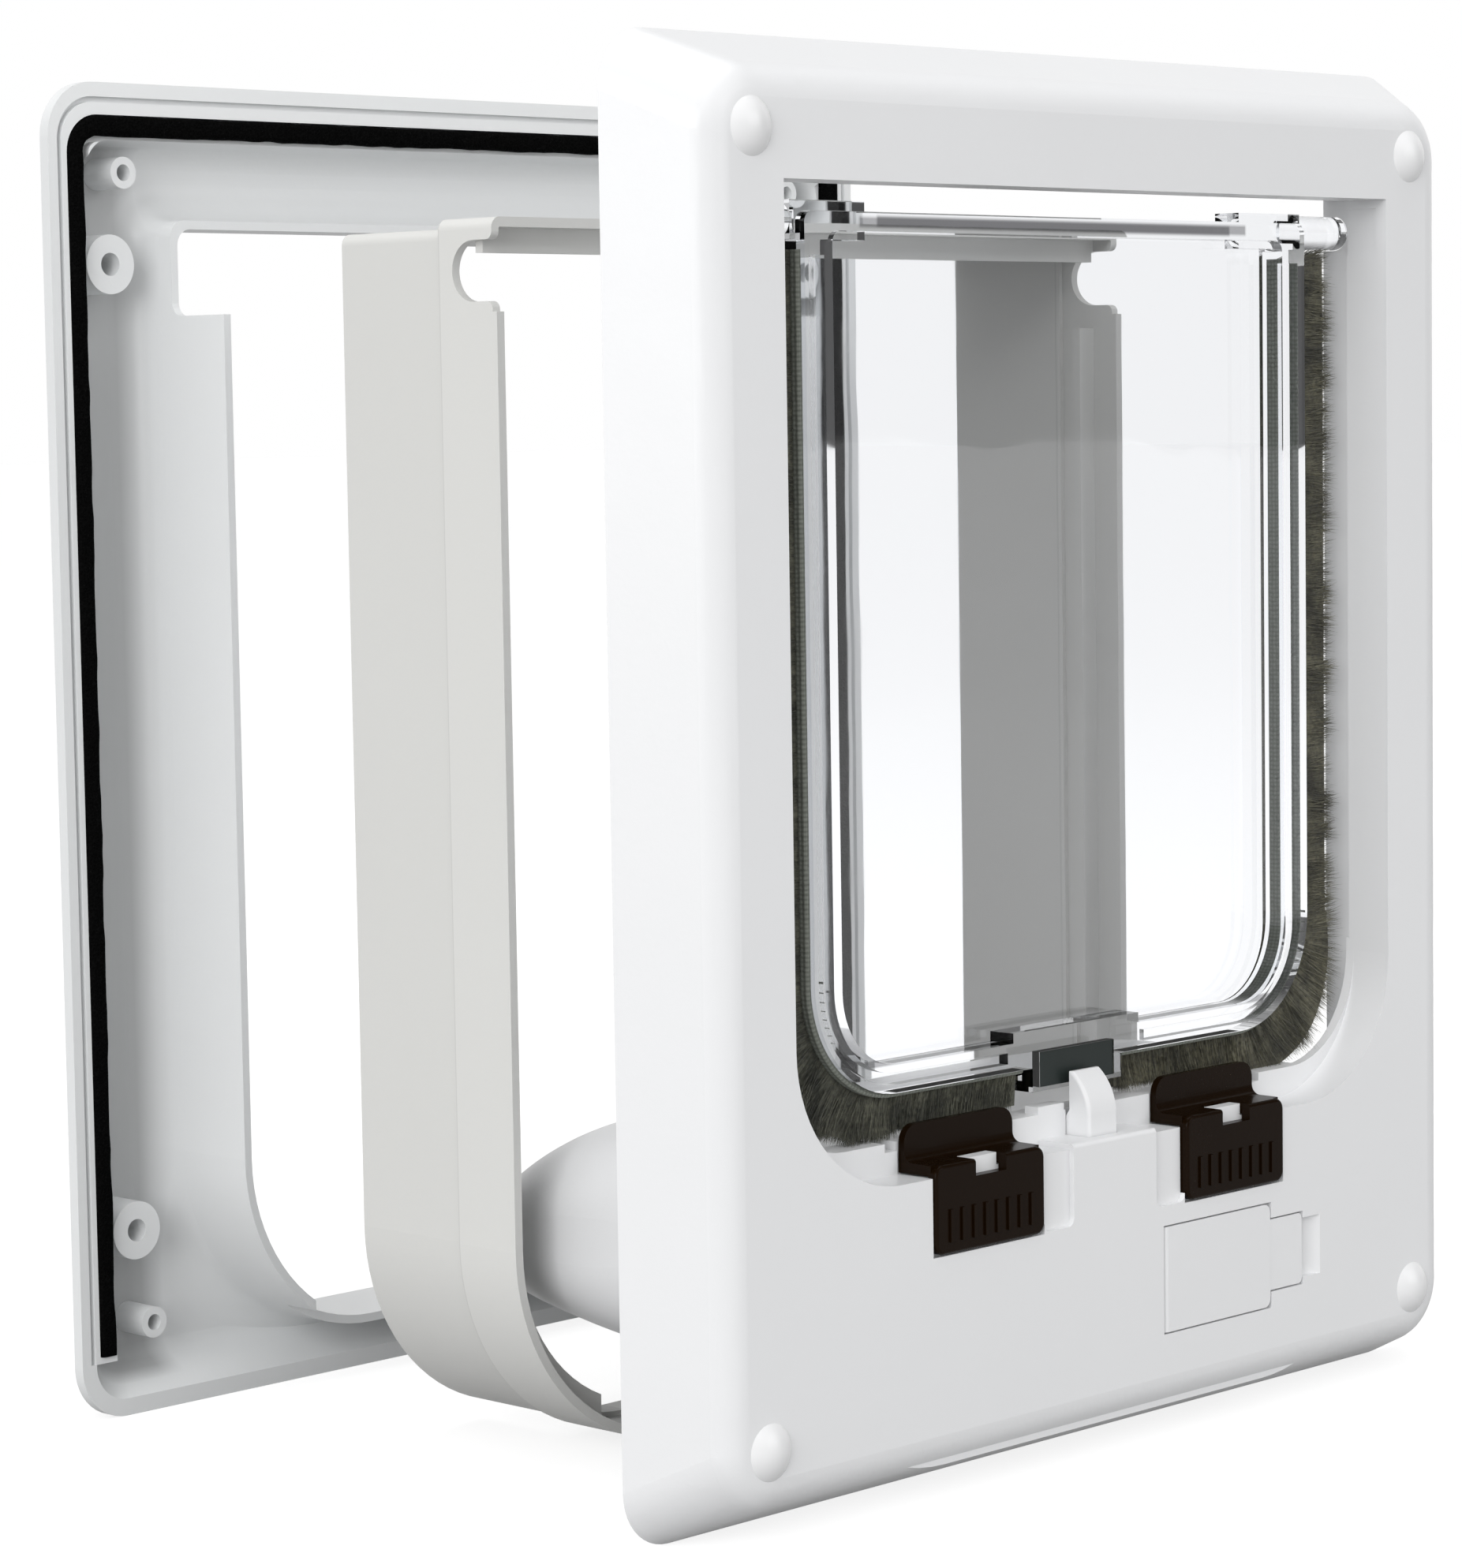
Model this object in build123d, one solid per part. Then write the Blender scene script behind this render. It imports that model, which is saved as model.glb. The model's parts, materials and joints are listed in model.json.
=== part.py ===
"""Magnetic cat flap, drawn apart: front frame with its flap and locks, tunnel liner, outer frame.

Millimetres. X runs along the door, Y from the room to the outside, Z up. Every place along Y is
measured from the front frame's door face while the pieces are made, and the whole set is then
moved so that the origin lies under its middle, on the surface that it stands on.
"""
import math
import os

from build123d import *

# Front frame
FRAME_W = 211.0
FRAME_H = 244.0
FRAME_T = 16.0
FRAME_CORNER_R = 10.0
BEVEL_SIDE = 9.2
BEVEL_END = 7.2
ROLL_R = 6.5
FRAME_WALL = 2.4

# Opening in the front frame
OPEN_W = 160.6
OPEN_LOW = 55.2
OPEN_HIGH = 220.0
OPEN_R = 25.0
OPEN_WALL_DEPTH = 9.0
LEDGE_Z = 60.6
LEDGE_Y = -8.1
LEDGE_WALL = 1.8
SHELF_WALL = 2.2
SILL_BLOCK_X0 = -11.4
SILL_BLOCK_X1 = -4.4
SILL_BLOCK_TOP = 61.9
SILL_BLOCK_L = 3.0
LEDGE_STEP_W = 3.1
LEDGE_STEP_D = 1.5

# Socket behind the opening, where the tunnel liner seats
SOCKET_WALL = 1.8
SOCKET_GAP = 0.5
SOCKET_LOW = 7.6
SOCKET_R = 39.0
LIP_FLAT = 0.6

# Screws and their caps
SCREW_PITCH_X = 175.0
SCREW_PITCH_Z = 212.0
SCREW_HOLE_R = 2.2
SCREW_BOSS_R = 4.6
CAP_R = 4.75
CAP_PROUD = 2.0
CAP_STEM_R = 3.0
CAP_STEM_L = 3.0
CAP_GAP = 0.05

# Flap
FLAP_W = 133.4
FLAP_LOW = 68.7
FLAP_TOP = 215.6
FLAP_R = 20.0
FLAP_FRONT_Y = -7.5
FLAP_PANEL_T = 2.2
FLAP_RIM_W = 6.6
FLAP_GROOVE_W = 2.6
FLAP_GROOVE_D = 2.0
PIN_Y = -2.3
PIN_Z = 214.2
PIN_R = 3.1
PIN_END_R = 1.2
PIN_END_X = 83.6
PIN_GAP = 0.08
HINGE_RECESS_H = 8.4
HINGE_RECESS_D = 0.4
BLOCK_X0 = 50.0
BLOCK_X1 = 68.0
BLOCK_H = 6.4
RAIL_T = 3.2
MAGNET_W = 20.2
MAGNET_H = 6.2
MAGNET_T = 3.4
MAGNET_LOW = 65.2
HOLDER_W = 24.0
HOLDER_WALL = 0.7
POCKET_W = 34.0
POCKET_RISE = 75.4
FLAP_SWING = 75.0

# Brush seal on the flap
BRUSH_BACK_T = 0.8
BRUSH_BACK_W = 5.6
BRUSH_W = 151.0
BRUSH_LOW = 62.0
BRUSH_T = 2.8
BRUSH_Y = -3.6
BRUSH_TOP_GAP = 1.8
BRUSH_BREAK = 27.0

# Lock sliders
GRIP_X = 33.5
GRIP_W = 28.0
GRIP_LOW = 42.0
GRIP_HIGH = 57.2
GRIP_T = 1.8
GRIP_PROUD = 0.5
GRIP_R = 2.0
GRIP_RIBS = 8
GRIP_RIB_PITCH = 2.95
GRIP_RIB_W = 0.8
GRIP_RIB_H = 5.6
GRIP_RIB_PROUD = 0.35
TAB_TOP = 63.4
TAB_T = 1.3
TAB_BACK_Y = -8.0
TAB_CORNER_R = 3.0
TAB_ROOT_R = 1.8
SLIDER_SLOT_W = 7.8
SLIDER_GAP = 0.3
GUIDE_GAP = 0.25
SLIDER_TRAVEL = 10.0

# Channels beside the middle boss
CHANNEL_X0 = 11.3
CHANNEL_D = 1.0
CHANNEL_LOW = 42.0
BOSS_TOP = 56.2
BOSS_EDGE_R = 0.8

# Latch
PAWL_W = 7.3
PAWL_TOP = 67.4
PAWL_FRONT_Y = -13.2
PAWL_BACK_Y = -8.7
PAWL_HEEL_Y = -7.4
PAWL_FOOT_Z = 42.0
PAWL_FOOT_T = 2.5
PAWL_GAP = 0.35
PAWL_RAMP_Z = 58.8
PAWL_EDGE_R = 0.7
PAWL_TRAVEL = 7.0
COIL_Y = -3.2
COIL_R = 6.0
COIL_LOW = 17.0
COIL_HIGH = 31.0
COIL_FLANGE_T = 1.2
COIL_BORE_R = 2.1
PLUNGER_R = 2.0
PLUNGER_LOW = 25.8
SPRING_R = 3.4
SPRING_WIRE_R = 0.35
SPRING_TURNS = 5

# Battery and its doorway
DOOR_X0 = 13.2
DOOR_X1 = 44.2
DOOR_LOW = 18.9
DOOR_HIGH = 38.4
DOOR_T = 1.8
DOOR_R = 1.6
DOOR_GAP = 0.3
DOOR_REBATE = 1.2
TONGUE_L = 9.2
TONGUE_H = 13.0
TONGUE_T = 1.4
SCOOP_R = 9.0
SCOOP_D = 1.6
DOOR_SWING = 75.0
BATTERY_W = 26.5
BATTERY_H = 17.5
BATTERY_L = 46.0
BATTERY_FRONT_Y = -12.0
BATTERY_GAP = 0.3
SLEEVE_WALL = 1.2
CONTACT_T = 1.6
STUD_R = 2.8
STUD_L = 2.2
STUD_PITCH = 12.7

# Rear housing
HOUSING_W = 148.0
HOUSING_LOW = 13.5
HOUSING_HIGH = 60.0
HOUSING_L = 78.0
HOUSING_RISE = 5.0
HOUSING_R_ROOT = 26.0
HOUSING_R_NOSE = 0.72
HOUSING_R_HIGH = 19.0
HOUSING_BLEND = 45.0
HOUSING_DRAW = 1.0
HOUSING_END = 80.0
HOUSING_WALL = 2.0
HOUSING_SCREW_INSET = 12.0
HOUSING_SCREW_Z = (30.0, 52.0)
HOUSING_SCREW_R = 1.5
HOUSING_HEAD_R = 2.8
HOUSING_HEAD_T = 1.6
HOUSING_SCREW_L = 9.0
HOUSING_POST_R = 3.4

# Circuit board
BOARD_X0 = -54.0
BOARD_X1 = -12.0
BOARD_LOW = 22.0
BOARD_HIGH = 50.0
BOARD_T = 1.6
BOARD_Y = 3.0
BOARD_POST_R = 2.4
REED_R = 1.3
REED_L = 14.0
CHIP_W = 10.0
CHIP_H = 6.0
CHIP_T = 1.8
CHIP_LOW = 12.0
CAPACITOR_R = 2.5
CAPACITOR_L = 7.0
CAPACITOR_X = 12.0
CAPACITOR_LOW = 8.0

# Tunnel liner
LINER_Y0 = 49.5
LINER_Y1 = 90.0
LINER_SEAM = 14.4
LINER_W = 164.2
LINER_TOP = 216.6
LINER_LOW = 1.2
LINER_R = 38.4
LINER_STEP = 0.9
LINER_STEP_TOP = 1.6
LINER_SET_BACK = 1.0
LINER_SET_BACK_Z = 200.6
LINER_WALL = 1.7
LINER_FLOOR_L = 19.0
LINER_FLOOR_HALF = 54.0
LINER_RIB_Y = 5.6
LINER_RIB_T = 1.8
LINER_RIB_H = 4.2
LINER_RIB_TOP = 198.0
LINER_RIB_END_X = 57.0
NOTCH_Z = 207.6
NOTCH_R = 5.2
NOTCH_DEPTH = 11.0
NOTCH_LIP_R = 1.4

# Outer frame
OUTER_Y = 141.2
OUTER_T = 12.0
OUTER_SIDE = 2.4
OUTER_BEVEL = 8.0
OUTER_ROLL_R = 5.0
OUTER_WALL = 2.3
RIM_W = 2.0
RIM_TOP_W = 2.6
GROOVE_W = 1.0
GROOVE_D = 1.2
FOAM_EDGE = 4.1
FOAM_TOP_EDGE = 5.8
FOAM_CORNER_R = 7.0
FOAM_W = 3.9
FOAM_T = 2.6
FOAM_GAP = 0.1
FOAM_END_Z = 11.8
FOAM_END_RIB = 1.2
HOLLOW_R = 7.0
HOLLOW_LOW = 3.2
HOLLOW_BACK_IN = 9.2
HOLLOW_DRAW = 2.0
HOLLOW_SCOOP_R = 4.0
LEDGE_D = 2.1
STUB_W = 157.4
STUB_LOW = 10.0
STUB_HIGH = 219.5
STUB_R = 37.0
STUB_TOP_R = 3.0
STUB_WALL = 1.6
STUB_SIDE_L = 15.3
STUB_FLOOR_L = 6.8
STUB_TOP_L = 0.5
STUB_NOTCH_Z = 202.0
STUB_NOTCH_R = 2.5
STUB_FLOOR_HALF = 62.5
STUB_FLARE_R = 7.0
BIG_BOSS_X = 91.0
BIG_BOSS_Z = (33.8, 211.4)
BIG_BOSS_R = 5.4
BIG_BOSS_HOLE_R = 2.1
SMALL_BOSS_R = 2.9
SMALL_BOSS_HOLE_R = 1.5
BOSS_SET_BACK = 1.6

# Worked out from the sizes above
HALF_W = FRAME_W / 2
OPEN_HALF = OPEN_W / 2
LINER_HALF = LINER_W / 2
SOCKET_HALF = LINER_HALF + SOCKET_GAP
SOCKET_HIGH = OPEN_HIGH + SOCKET_HALF - OPEN_HALF
OPEN_WALL_Y = -FRAME_T + OPEN_WALL_DEPTH
FACE_BACK_Y = -FRAME_T + FRAME_WALL
MID_Z = FRAME_H / 2
SCREW_Z = (MID_Z - SCREW_PITCH_Z / 2, MID_Z + SCREW_PITCH_Z / 2)
GRIP_FRONT_Y = -FRAME_T - GRIP_PROUD
GRIP_BACK_Y = GRIP_FRONT_Y + GRIP_T
FLAP_BACK_Y = FLAP_FRONT_Y + 7.5
FLAP_PANEL_Y = FLAP_BACK_Y - FLAP_PANEL_T
BRUSH_TOP = PIN_Z - PIN_R - BRUSH_TOP_GAP
HOUSING_SCREW_X = HOUSING_W / 2 - HOUSING_SCREW_INSET
DOOR_MID_X = (DOOR_X0 + DOOR_X1) / 2
DOOR_MID_Z = (DOOR_LOW + DOOR_HIGH) / 2
DOOR_PIVOT_X = DOOR_X0 + DOOR_GAP + DOOR_T / 2
DOOR_PIVOT_Y = -FRAME_T + DOOR_T / 2
BATTERY_BACK_Y = BATTERY_FRONT_Y + BATTERY_L
OUTER_BACK_Y = OUTER_Y + OUTER_T
CENTRE_Y = (OUTER_BACK_Y - FRAME_T - CAP_PROUD) / 2
SIDES = (-1, 1)


def door_plane(y):
    """Plane parallel to the door at y, with X to the right and Z up."""
    return Plane(origin=(0, y, 0), x_dir=(1, 0, 0), z_dir=(0, -1, 0))


def outline(width, low, high, r_low, r_high=0.0):
    """Rectangle about X = 0 from low to high, with its lower and upper corners rounded."""
    shape = Pos(0, (low + high) / 2) * Rectangle(width, high - low)
    shape = fillet(shape.vertices().sort_by(Axis.Y)[:2], r_low)
    if r_high > 0:
        shape = fillet(shape.vertices().sort_by(Axis.Y)[-2:], r_high)
    return shape


def slab(shape, y0, y1):
    """The shape drawn on the door plane, made solid from y0 to y1."""
    return extrude(door_plane(y1) * shape, amount=y1 - y0)


def block(x0, x1, y0, y1, z0, z1):
    """Box between two corners."""
    centre = ((x0 + x1) / 2, (y0 + y1) / 2, (z0 + z1) / 2)
    return Pos(*centre) * Box(x1 - x0, y1 - y0, z1 - z0)


def rod_y(x, z, r, y0, y1):
    """Round bar along Y."""
    return Pos(x, (y0 + y1) / 2, z) * Rot(90, 0, 0) * Cylinder(r, y1 - y0)


def rod_x(y, z, r, x0, x1):
    """Round bar along X."""
    return Pos((x0 + x1) / 2, y, z) * Rot(0, 90, 0) * Cylinder(r, x1 - x0)


def rod_z(x, y, r, z0, z1):
    """Round bar along Z."""
    return Pos(x, y, (z0 + z1) / 2) * Cylinder(r, z1 - z0)


def bezel(y_rim, y_side, y_face, bevel_side, bevel_end, roll_r):
    """Outer form of a frame: rounded rim, bevelled sides and a rolled edge round its face."""
    rim = outline(FRAME_W, 0, FRAME_H, FRAME_CORNER_R, FRAME_CORNER_R)
    face_w = FRAME_W - 2 * bevel_side
    face_r = FRAME_CORNER_R + 1
    face = outline(face_w, bevel_end, FRAME_H - bevel_end, face_r, face_r)
    solid = loft([door_plane(y_side) * rim, door_plane(y_face) * face], ruled=True)
    if y_side != y_rim:
        solid = solid + slab(rim, min(y_rim, y_side), max(y_rim, y_side))
    edges = solid.edges().filter_by_position(Axis.Y, y_face - 0.01, y_face + 0.01)
    return fillet(edges, roll_r)


def bezel_cavity(y_rim, y_side, y_face, bevel_side, bevel_end, wall):
    """Hollow inside a frame, one wall in from its outer form."""
    corner = FRAME_CORNER_R - wall
    rim = outline(FRAME_W - 2 * wall, wall, FRAME_H - wall, corner, corner)
    side_in = bevel_side + wall
    end_in = bevel_end + wall
    face = outline(FRAME_W - 2 * side_in, end_in, FRAME_H - end_in, corner, corner)
    solid = loft([door_plane(y_side) * rim, door_plane(y_face) * face], ruled=True)
    if y_side != y_rim:
        solid = solid + slab(rim, min(y_rim, y_side), max(y_rim, y_side))
    return solid


def ring(outer, inner, y0, y1):
    """Wall between two outlines from y0 to y1."""
    return slab(outer - inner, y0, y1)


def slider_x(side):
    return side * GRIP_X


def make_front_frame():
    """White bezel with the opening wall, the liner's socket, the sill and the mechanism's seats."""
    body = bezel(0, 0, -FRAME_T, BEVEL_SIDE, BEVEL_END, ROLL_R)
    body -= bezel_cavity(0, 0, FACE_BACK_Y, BEVEL_SIDE, BEVEL_END, FRAME_WALL)

    opening = outline(OPEN_W, OPEN_LOW, OPEN_HIGH, OPEN_R)
    wall_t = SOCKET_HALF - OPEN_HALF
    wall = outline(OPEN_W + 2 * wall_t, OPEN_LOW - wall_t, OPEN_HIGH + wall_t, OPEN_R + wall_t)
    socket = outline(2 * SOCKET_HALF, SOCKET_LOW, SOCKET_HIGH, SOCKET_R)
    socket_out = outline(
        2 * (SOCKET_HALF + SOCKET_WALL),
        SOCKET_LOW - SOCKET_WALL,
        SOCKET_HIGH + SOCKET_WALL,
        SOCKET_R + SOCKET_WALL,
    )
    ledge = outline(OPEN_W, LEDGE_Z, OPEN_HIGH, OPEN_R - (LEDGE_Z - OPEN_LOW))
    ledge_zone = Pos(0, OPEN_LOW + OPEN_R / 2) * Rectangle(FRAME_W, OPEN_R + 2 * wall_t)

    body += ring(wall, opening, FACE_BACK_Y - LIP_FLAT, OPEN_WALL_Y)
    body += ring(socket_out, socket, FACE_BACK_Y - LIP_FLAT, 0)
    body += slab((wall & ledge_zone) - ledge, LEDGE_Y, LEDGE_Y + LEDGE_WALL)
    step_in = outline(OPEN_W - 2 * LEDGE_WALL, LEDGE_Z - LEDGE_WALL, OPEN_HIGH, OPEN_R)
    body += slab((opening & ledge_zone & step_in) - ledge, LEDGE_Y, -HOUSING_WALL)
    for side in SIDES:
        for z in SCREW_Z:
            body += rod_y(side * SCREW_PITCH_X / 2, z, SCREW_BOSS_R, FACE_BACK_Y - LIP_FLAT, 0)
    body -= slab(opening, -FRAME_T - 1, LEDGE_Y)

    for side in SIDES:
        body = cut_slider_pocket(body, slider_x(side))
        body = cut_hinge_seat(body, side)
        for z in SCREW_Z:
            x = side * SCREW_PITCH_X / 2
            body -= rod_y(x, z, SCREW_HOLE_R, -FRAME_T - 1, 1)
            body -= rod_y(x, z, CAP_STEM_R + CAP_GAP, -FRAME_T - 1, -FRAME_T + CAP_STEM_L)
    body = cut_channels(body)
    body = add_latch_seat(body)
    body = cut_doorway(body)
    return add_rear_posts(body)


def cut_slider_pocket(body, x):
    """Open-topped pocket in the face, its floor plate and the guide that fits the slider's slot."""
    half = GRIP_W / 2 + SLIDER_GAP
    low = GRIP_LOW - SLIDER_GAP
    floor_y = GRIP_BACK_Y + GUIDE_GAP
    shelf_low = GRIP_HIGH - GRIP_T - SLIDER_GAP
    wall = 1.6
    back_y = floor_y + wall
    body += block(x - half - wall, x + half + wall, FACE_BACK_Y, back_y, low - wall, OPEN_LOW)
    body -= block(x - half, x + half, -FRAME_T - 1, floor_y, low, OPEN_LOW + 1)
    pocket_y = TAB_BACK_Y + SLIDER_GAP
    body -= block(x - half, x + half, floor_y - 1, pocket_y, shelf_low, SILL_BLOCK_TOP + 1)
    body += block(x - half - wall, x + half + wall, back_y - wall, pocket_y, shelf_low - wall, shelf_low)
    step_x = math.copysign(half, x)
    xs = sorted((x + step_x, x + step_x + math.copysign(LEDGE_STEP_W, x)))
    body -= block(xs[0], xs[1], -FRAME_T - 1, 0, LEDGE_Z - LEDGE_STEP_D, SILL_BLOCK_TOP + 1)
    guide_half = SLIDER_SLOT_W / 2 - GUIDE_GAP
    body += block(x - guide_half, x + guide_half, floor_y, floor_y + 2.4, shelf_low - wall, GRIP_HIGH)
    return body


def cut_hinge_seat(body, side):
    """Slot in the socket wall, open to the door side, in which a hinge pin of the flap turns."""
    x0 = side * (SOCKET_HALF - 0.5)
    x1 = side * (SOCKET_HALF + SOCKET_WALL + 1)
    r = PIN_R + PIN_GAP
    body -= rod_x(PIN_Y, PIN_Z, r, min(x0, x1), max(x0, x1))
    body -= block(min(x0, x1), max(x0, x1), PIN_Y, 1, PIN_Z - r, PIN_Z + r)
    xs = sorted((side * (OPEN_HALF - 1), side * (OPEN_HALF + HINGE_RECESS_D)))
    half = HINGE_RECESS_H / 2
    return body - block(xs[0], xs[1], -FRAME_T + FRAME_WALL, OPEN_WALL_Y + 1, PIN_Z - half, PIN_Z + half)


def cut_channels(body):
    """Shallow channels that leave the middle of the sill standing as a boss."""
    x1 = GRIP_X - GRIP_W / 2
    for side in SIDES:
        xs = sorted((side * CHANNEL_X0, side * (x1 - SLIDER_GAP)))
        channel = block(xs[0], xs[1], -FRAME_T - 1, -FRAME_T + CHANNEL_D, CHANNEL_LOW, OPEN_LOW + 1)
        body -= fillet(channel.edges().filter_by(Axis.Y).sort_by(Axis.Z)[:2], 1.5)
    return body


def add_latch_seat(body):
    """Slot for the pawl through the sill's shelf, and the cradle that holds the coil."""
    shelf = block(-CHANNEL_X0 - 3, CHANNEL_X0 + 3, FACE_BACK_Y, LEDGE_Y + LEDGE_WALL, OPEN_LOW - SHELF_WALL, OPEN_LOW)
    body += shelf
    boss = block(-CHANNEL_X0, CHANNEL_X0, -FRAME_T, LEDGE_Y + 1, OPEN_LOW - 1, BOSS_TOP)
    front = boss.edges().filter_by(Axis.X).filter_by_position(Axis.Y, -FRAME_T - 0.01, -FRAME_T + 0.01)
    body += fillet(front.sort_by(Axis.Z)[-1:], BOSS_EDGE_R)
    body += block(SILL_BLOCK_X0, SILL_BLOCK_X1, LEDGE_Y, LEDGE_Y + SILL_BLOCK_L, OPEN_LOW, SILL_BLOCK_TOP)
    cradle_x = COIL_R + 0.2
    for side in SIDES:
        xs = sorted((side * cradle_x, side * (cradle_x + 1.6)))
        body += block(xs[0], xs[1], FACE_BACK_Y - LIP_FLAT, COIL_Y, COIL_LOW - 1.6, COIL_HIGH)
    foot_low = COIL_LOW - 1.6
    body += block(-cradle_x - 1.6, cradle_x + 1.6, FACE_BACK_Y - LIP_FLAT, COIL_Y, foot_low, COIL_LOW)
    half = PAWL_W / 2 + PAWL_GAP
    body -= block(-half, half, PAWL_FRONT_Y - PAWL_GAP, PAWL_HEEL_Y + PAWL_GAP, OPEN_LOW - 6, SILL_BLOCK_TOP + 1)
    return body


def cut_doorway(body):
    """Doorway for the battery, with a rebate for its cover, a pocket for the tongue and a scoop."""
    body -= block(DOOR_X0, DOOR_X1, -FRAME_T - 1, -FRAME_T + DOOR_T, DOOR_LOW, DOOR_HIGH)
    x0 = DOOR_X0 + DOOR_REBATE
    x1 = DOOR_X1 - DOOR_REBATE
    body -= block(x0, x1, -FRAME_T, FACE_BACK_Y + 1, DOOR_LOW + DOOR_REBATE, DOOR_HIGH - DOOR_REBATE)
    tongue_half = TONGUE_H / 2 + DOOR_GAP
    tongue_x1 = DOOR_X1 + TONGUE_L + DOOR_GAP
    zs = (DOOR_MID_Z - tongue_half, DOOR_MID_Z + tongue_half)
    body -= block(DOOR_X1 - 1, tongue_x1, -FRAME_T - 1, -FRAME_T + DOOR_T, zs[0], zs[1])
    scoop = Pos(tongue_x1, -FRAME_T - SCOOP_R + SCOOP_D, DOOR_MID_Z) * Cylinder(SCOOP_R, TONGUE_H - 2)
    return body - scoop


def add_rear_posts(body):
    """Posts behind the face for the circuit board and for the rear housing's screws."""
    for x in (BOARD_X0 + 5, BOARD_X1 - 5):
        z = (BOARD_LOW + BOARD_HIGH) / 2 - 8
        body += rod_y(x, z, BOARD_POST_R, FACE_BACK_Y - LIP_FLAT, BOARD_Y)
    for side in SIDES:
        for z in HOUSING_SCREW_Z:
            x = side * HOUSING_SCREW_X
            body += rod_y(x, z, HOUSING_POST_R, FACE_BACK_Y - LIP_FLAT, -HOUSING_WALL)
            body -= rod_y(x, z, HOUSING_SCREW_R, -HOUSING_SCREW_L, 0)
    return body


def make_screw_cap(x, z):
    """Domed push-in cap over a fixing screw."""
    sphere_r = (CAP_R ** 2 + CAP_PROUD ** 2) / (2 * CAP_PROUD)
    dome = Pos(x, -FRAME_T - CAP_PROUD + sphere_r, z) * Sphere(sphere_r)
    dome &= rod_y(x, z, CAP_R, -FRAME_T - CAP_PROUD - 1, -FRAME_T)
    return dome + rod_y(x, z, CAP_STEM_R, -FRAME_T, -FRAME_T + CAP_STEM_L)


def make_flap():
    """Clear panel with its raised and grooved rim, hinge rail, pins and magnet pocket."""
    outer = outline(FLAP_W, FLAP_LOW, FLAP_TOP, FLAP_R, 2.0)
    inner_w = FLAP_W - 2 * FLAP_RIM_W
    inner_low = FLAP_LOW + FLAP_RIM_W * 0.75
    inner = outline(inner_w, inner_low, FLAP_TOP - RAIL_T, FLAP_R - FLAP_RIM_W, 2.0)
    pocket = Pos(0, (MAGNET_LOW - HOLDER_WALL + POCKET_RISE) / 2)
    pocket *= Rectangle(POCKET_W, POCKET_RISE - MAGNET_LOW + HOLDER_WALL)
    holder_low = MAGNET_LOW - HOLDER_WALL
    holder = Pos(0, (holder_low + POCKET_RISE) / 2) * Rectangle(HOLDER_W, POCKET_RISE - holder_low)
    pocket &= outer + holder

    flap = slab(outer, FLAP_PANEL_Y, FLAP_BACK_Y)
    flap += slab(outer - inner + pocket, FLAP_FRONT_Y, FLAP_BACK_Y)
    flap += slab(holder, FLAP_FRONT_Y, FLAP_BACK_Y)
    flap -= rim_groove()
    flap -= magnet_space()
    for side in SIDES:
        xs = sorted((side * BLOCK_X0, side * BLOCK_X1))
        flap += block(xs[0], xs[1], PIN_Y - PIN_R, FLAP_BACK_Y, PIN_Z - BLOCK_H / 2, PIN_Z + BLOCK_H / 2)
        xs = sorted((side * (BLOCK_X1 - 4), side * PIN_END_X))
        pin = rod_x(PIN_Y, PIN_Z, PIN_R, xs[0], xs[1])
        end = pin.edges().sort_by(Axis.X)[-1 if side > 0 else 0]
        flap += fillet([end], PIN_END_R)
    return flap


def rim_groove():
    """Shallow groove that runs round the front of the rim, down one side, below and up the other."""
    inset = (FLAP_RIM_W - FLAP_GROOVE_W) / 2
    top = FLAP_TOP - RAIL_T - 4
    out = outline(FLAP_W - 2 * inset, FLAP_LOW + inset * 0.75, top, FLAP_R - inset)
    inside = inset + FLAP_GROOVE_W
    inner = outline(FLAP_W - 2 * inside, FLAP_LOW + inside * 0.75, top + 1, FLAP_R - inside)
    gap = Pos(0, FLAP_LOW) * Rectangle(POCKET_W + 3, 2 * FLAP_R)
    return slab(out - inner - gap, FLAP_FRONT_Y - 1, FLAP_FRONT_Y + FLAP_GROOVE_D)


def magnet_space():
    """Recess for the magnet, open to the front."""
    half = MAGNET_W / 2
    return block(-half, half, FLAP_FRONT_Y - 1, FLAP_FRONT_Y + MAGNET_T, MAGNET_LOW, MAGNET_LOW + MAGNET_H)


def make_magnet():
    half = MAGNET_W / 2
    y0 = FLAP_FRONT_Y + 0.2
    return block(-half, half, y0, FLAP_FRONT_Y + MAGNET_T, MAGNET_LOW, MAGNET_LOW + MAGNET_H)


def side_strip(outer_w, outer_low, outer_r, inner_w, inner_low, inner_r, y0, y1, side):
    """Half of a U-shaped strip round the flap, from its top down to the break at the magnet."""
    outer = outline(outer_w, outer_low, BRUSH_TOP, outer_r)
    inner = outline(inner_w, inner_low, BRUSH_TOP + 1, inner_r)
    half = Pos(side * (BRUSH_BREAK / 2 + FRAME_W / 2), BRUSH_TOP / 2) * Rectangle(FRAME_W, BRUSH_TOP)
    return slab((outer - inner) & half, y0, y1)


def make_brush(side):
    """Woven backing bonded round the rim, and the pile that stands out from it."""
    back_w = FLAP_W + 2 * BRUSH_BACK_T
    back_low = FLAP_LOW - BRUSH_BACK_T
    back_r = FLAP_R + BRUSH_BACK_T
    pile_r = back_r + (BRUSH_W - back_w) / 2
    y_mid = (FLAP_FRONT_Y + FLAP_BACK_Y) / 2
    backing = side_strip(
        back_w, back_low, back_r, FLAP_W, FLAP_LOW, FLAP_R,
        y_mid - BRUSH_BACK_W / 2, y_mid + BRUSH_BACK_W / 2, side,
    )
    pile = side_strip(
        BRUSH_W, BRUSH_LOW, pile_r, back_w, back_low, back_r,
        BRUSH_Y - BRUSH_T / 2, BRUSH_Y + BRUSH_T / 2, side,
    )
    return backing, pile


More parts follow.
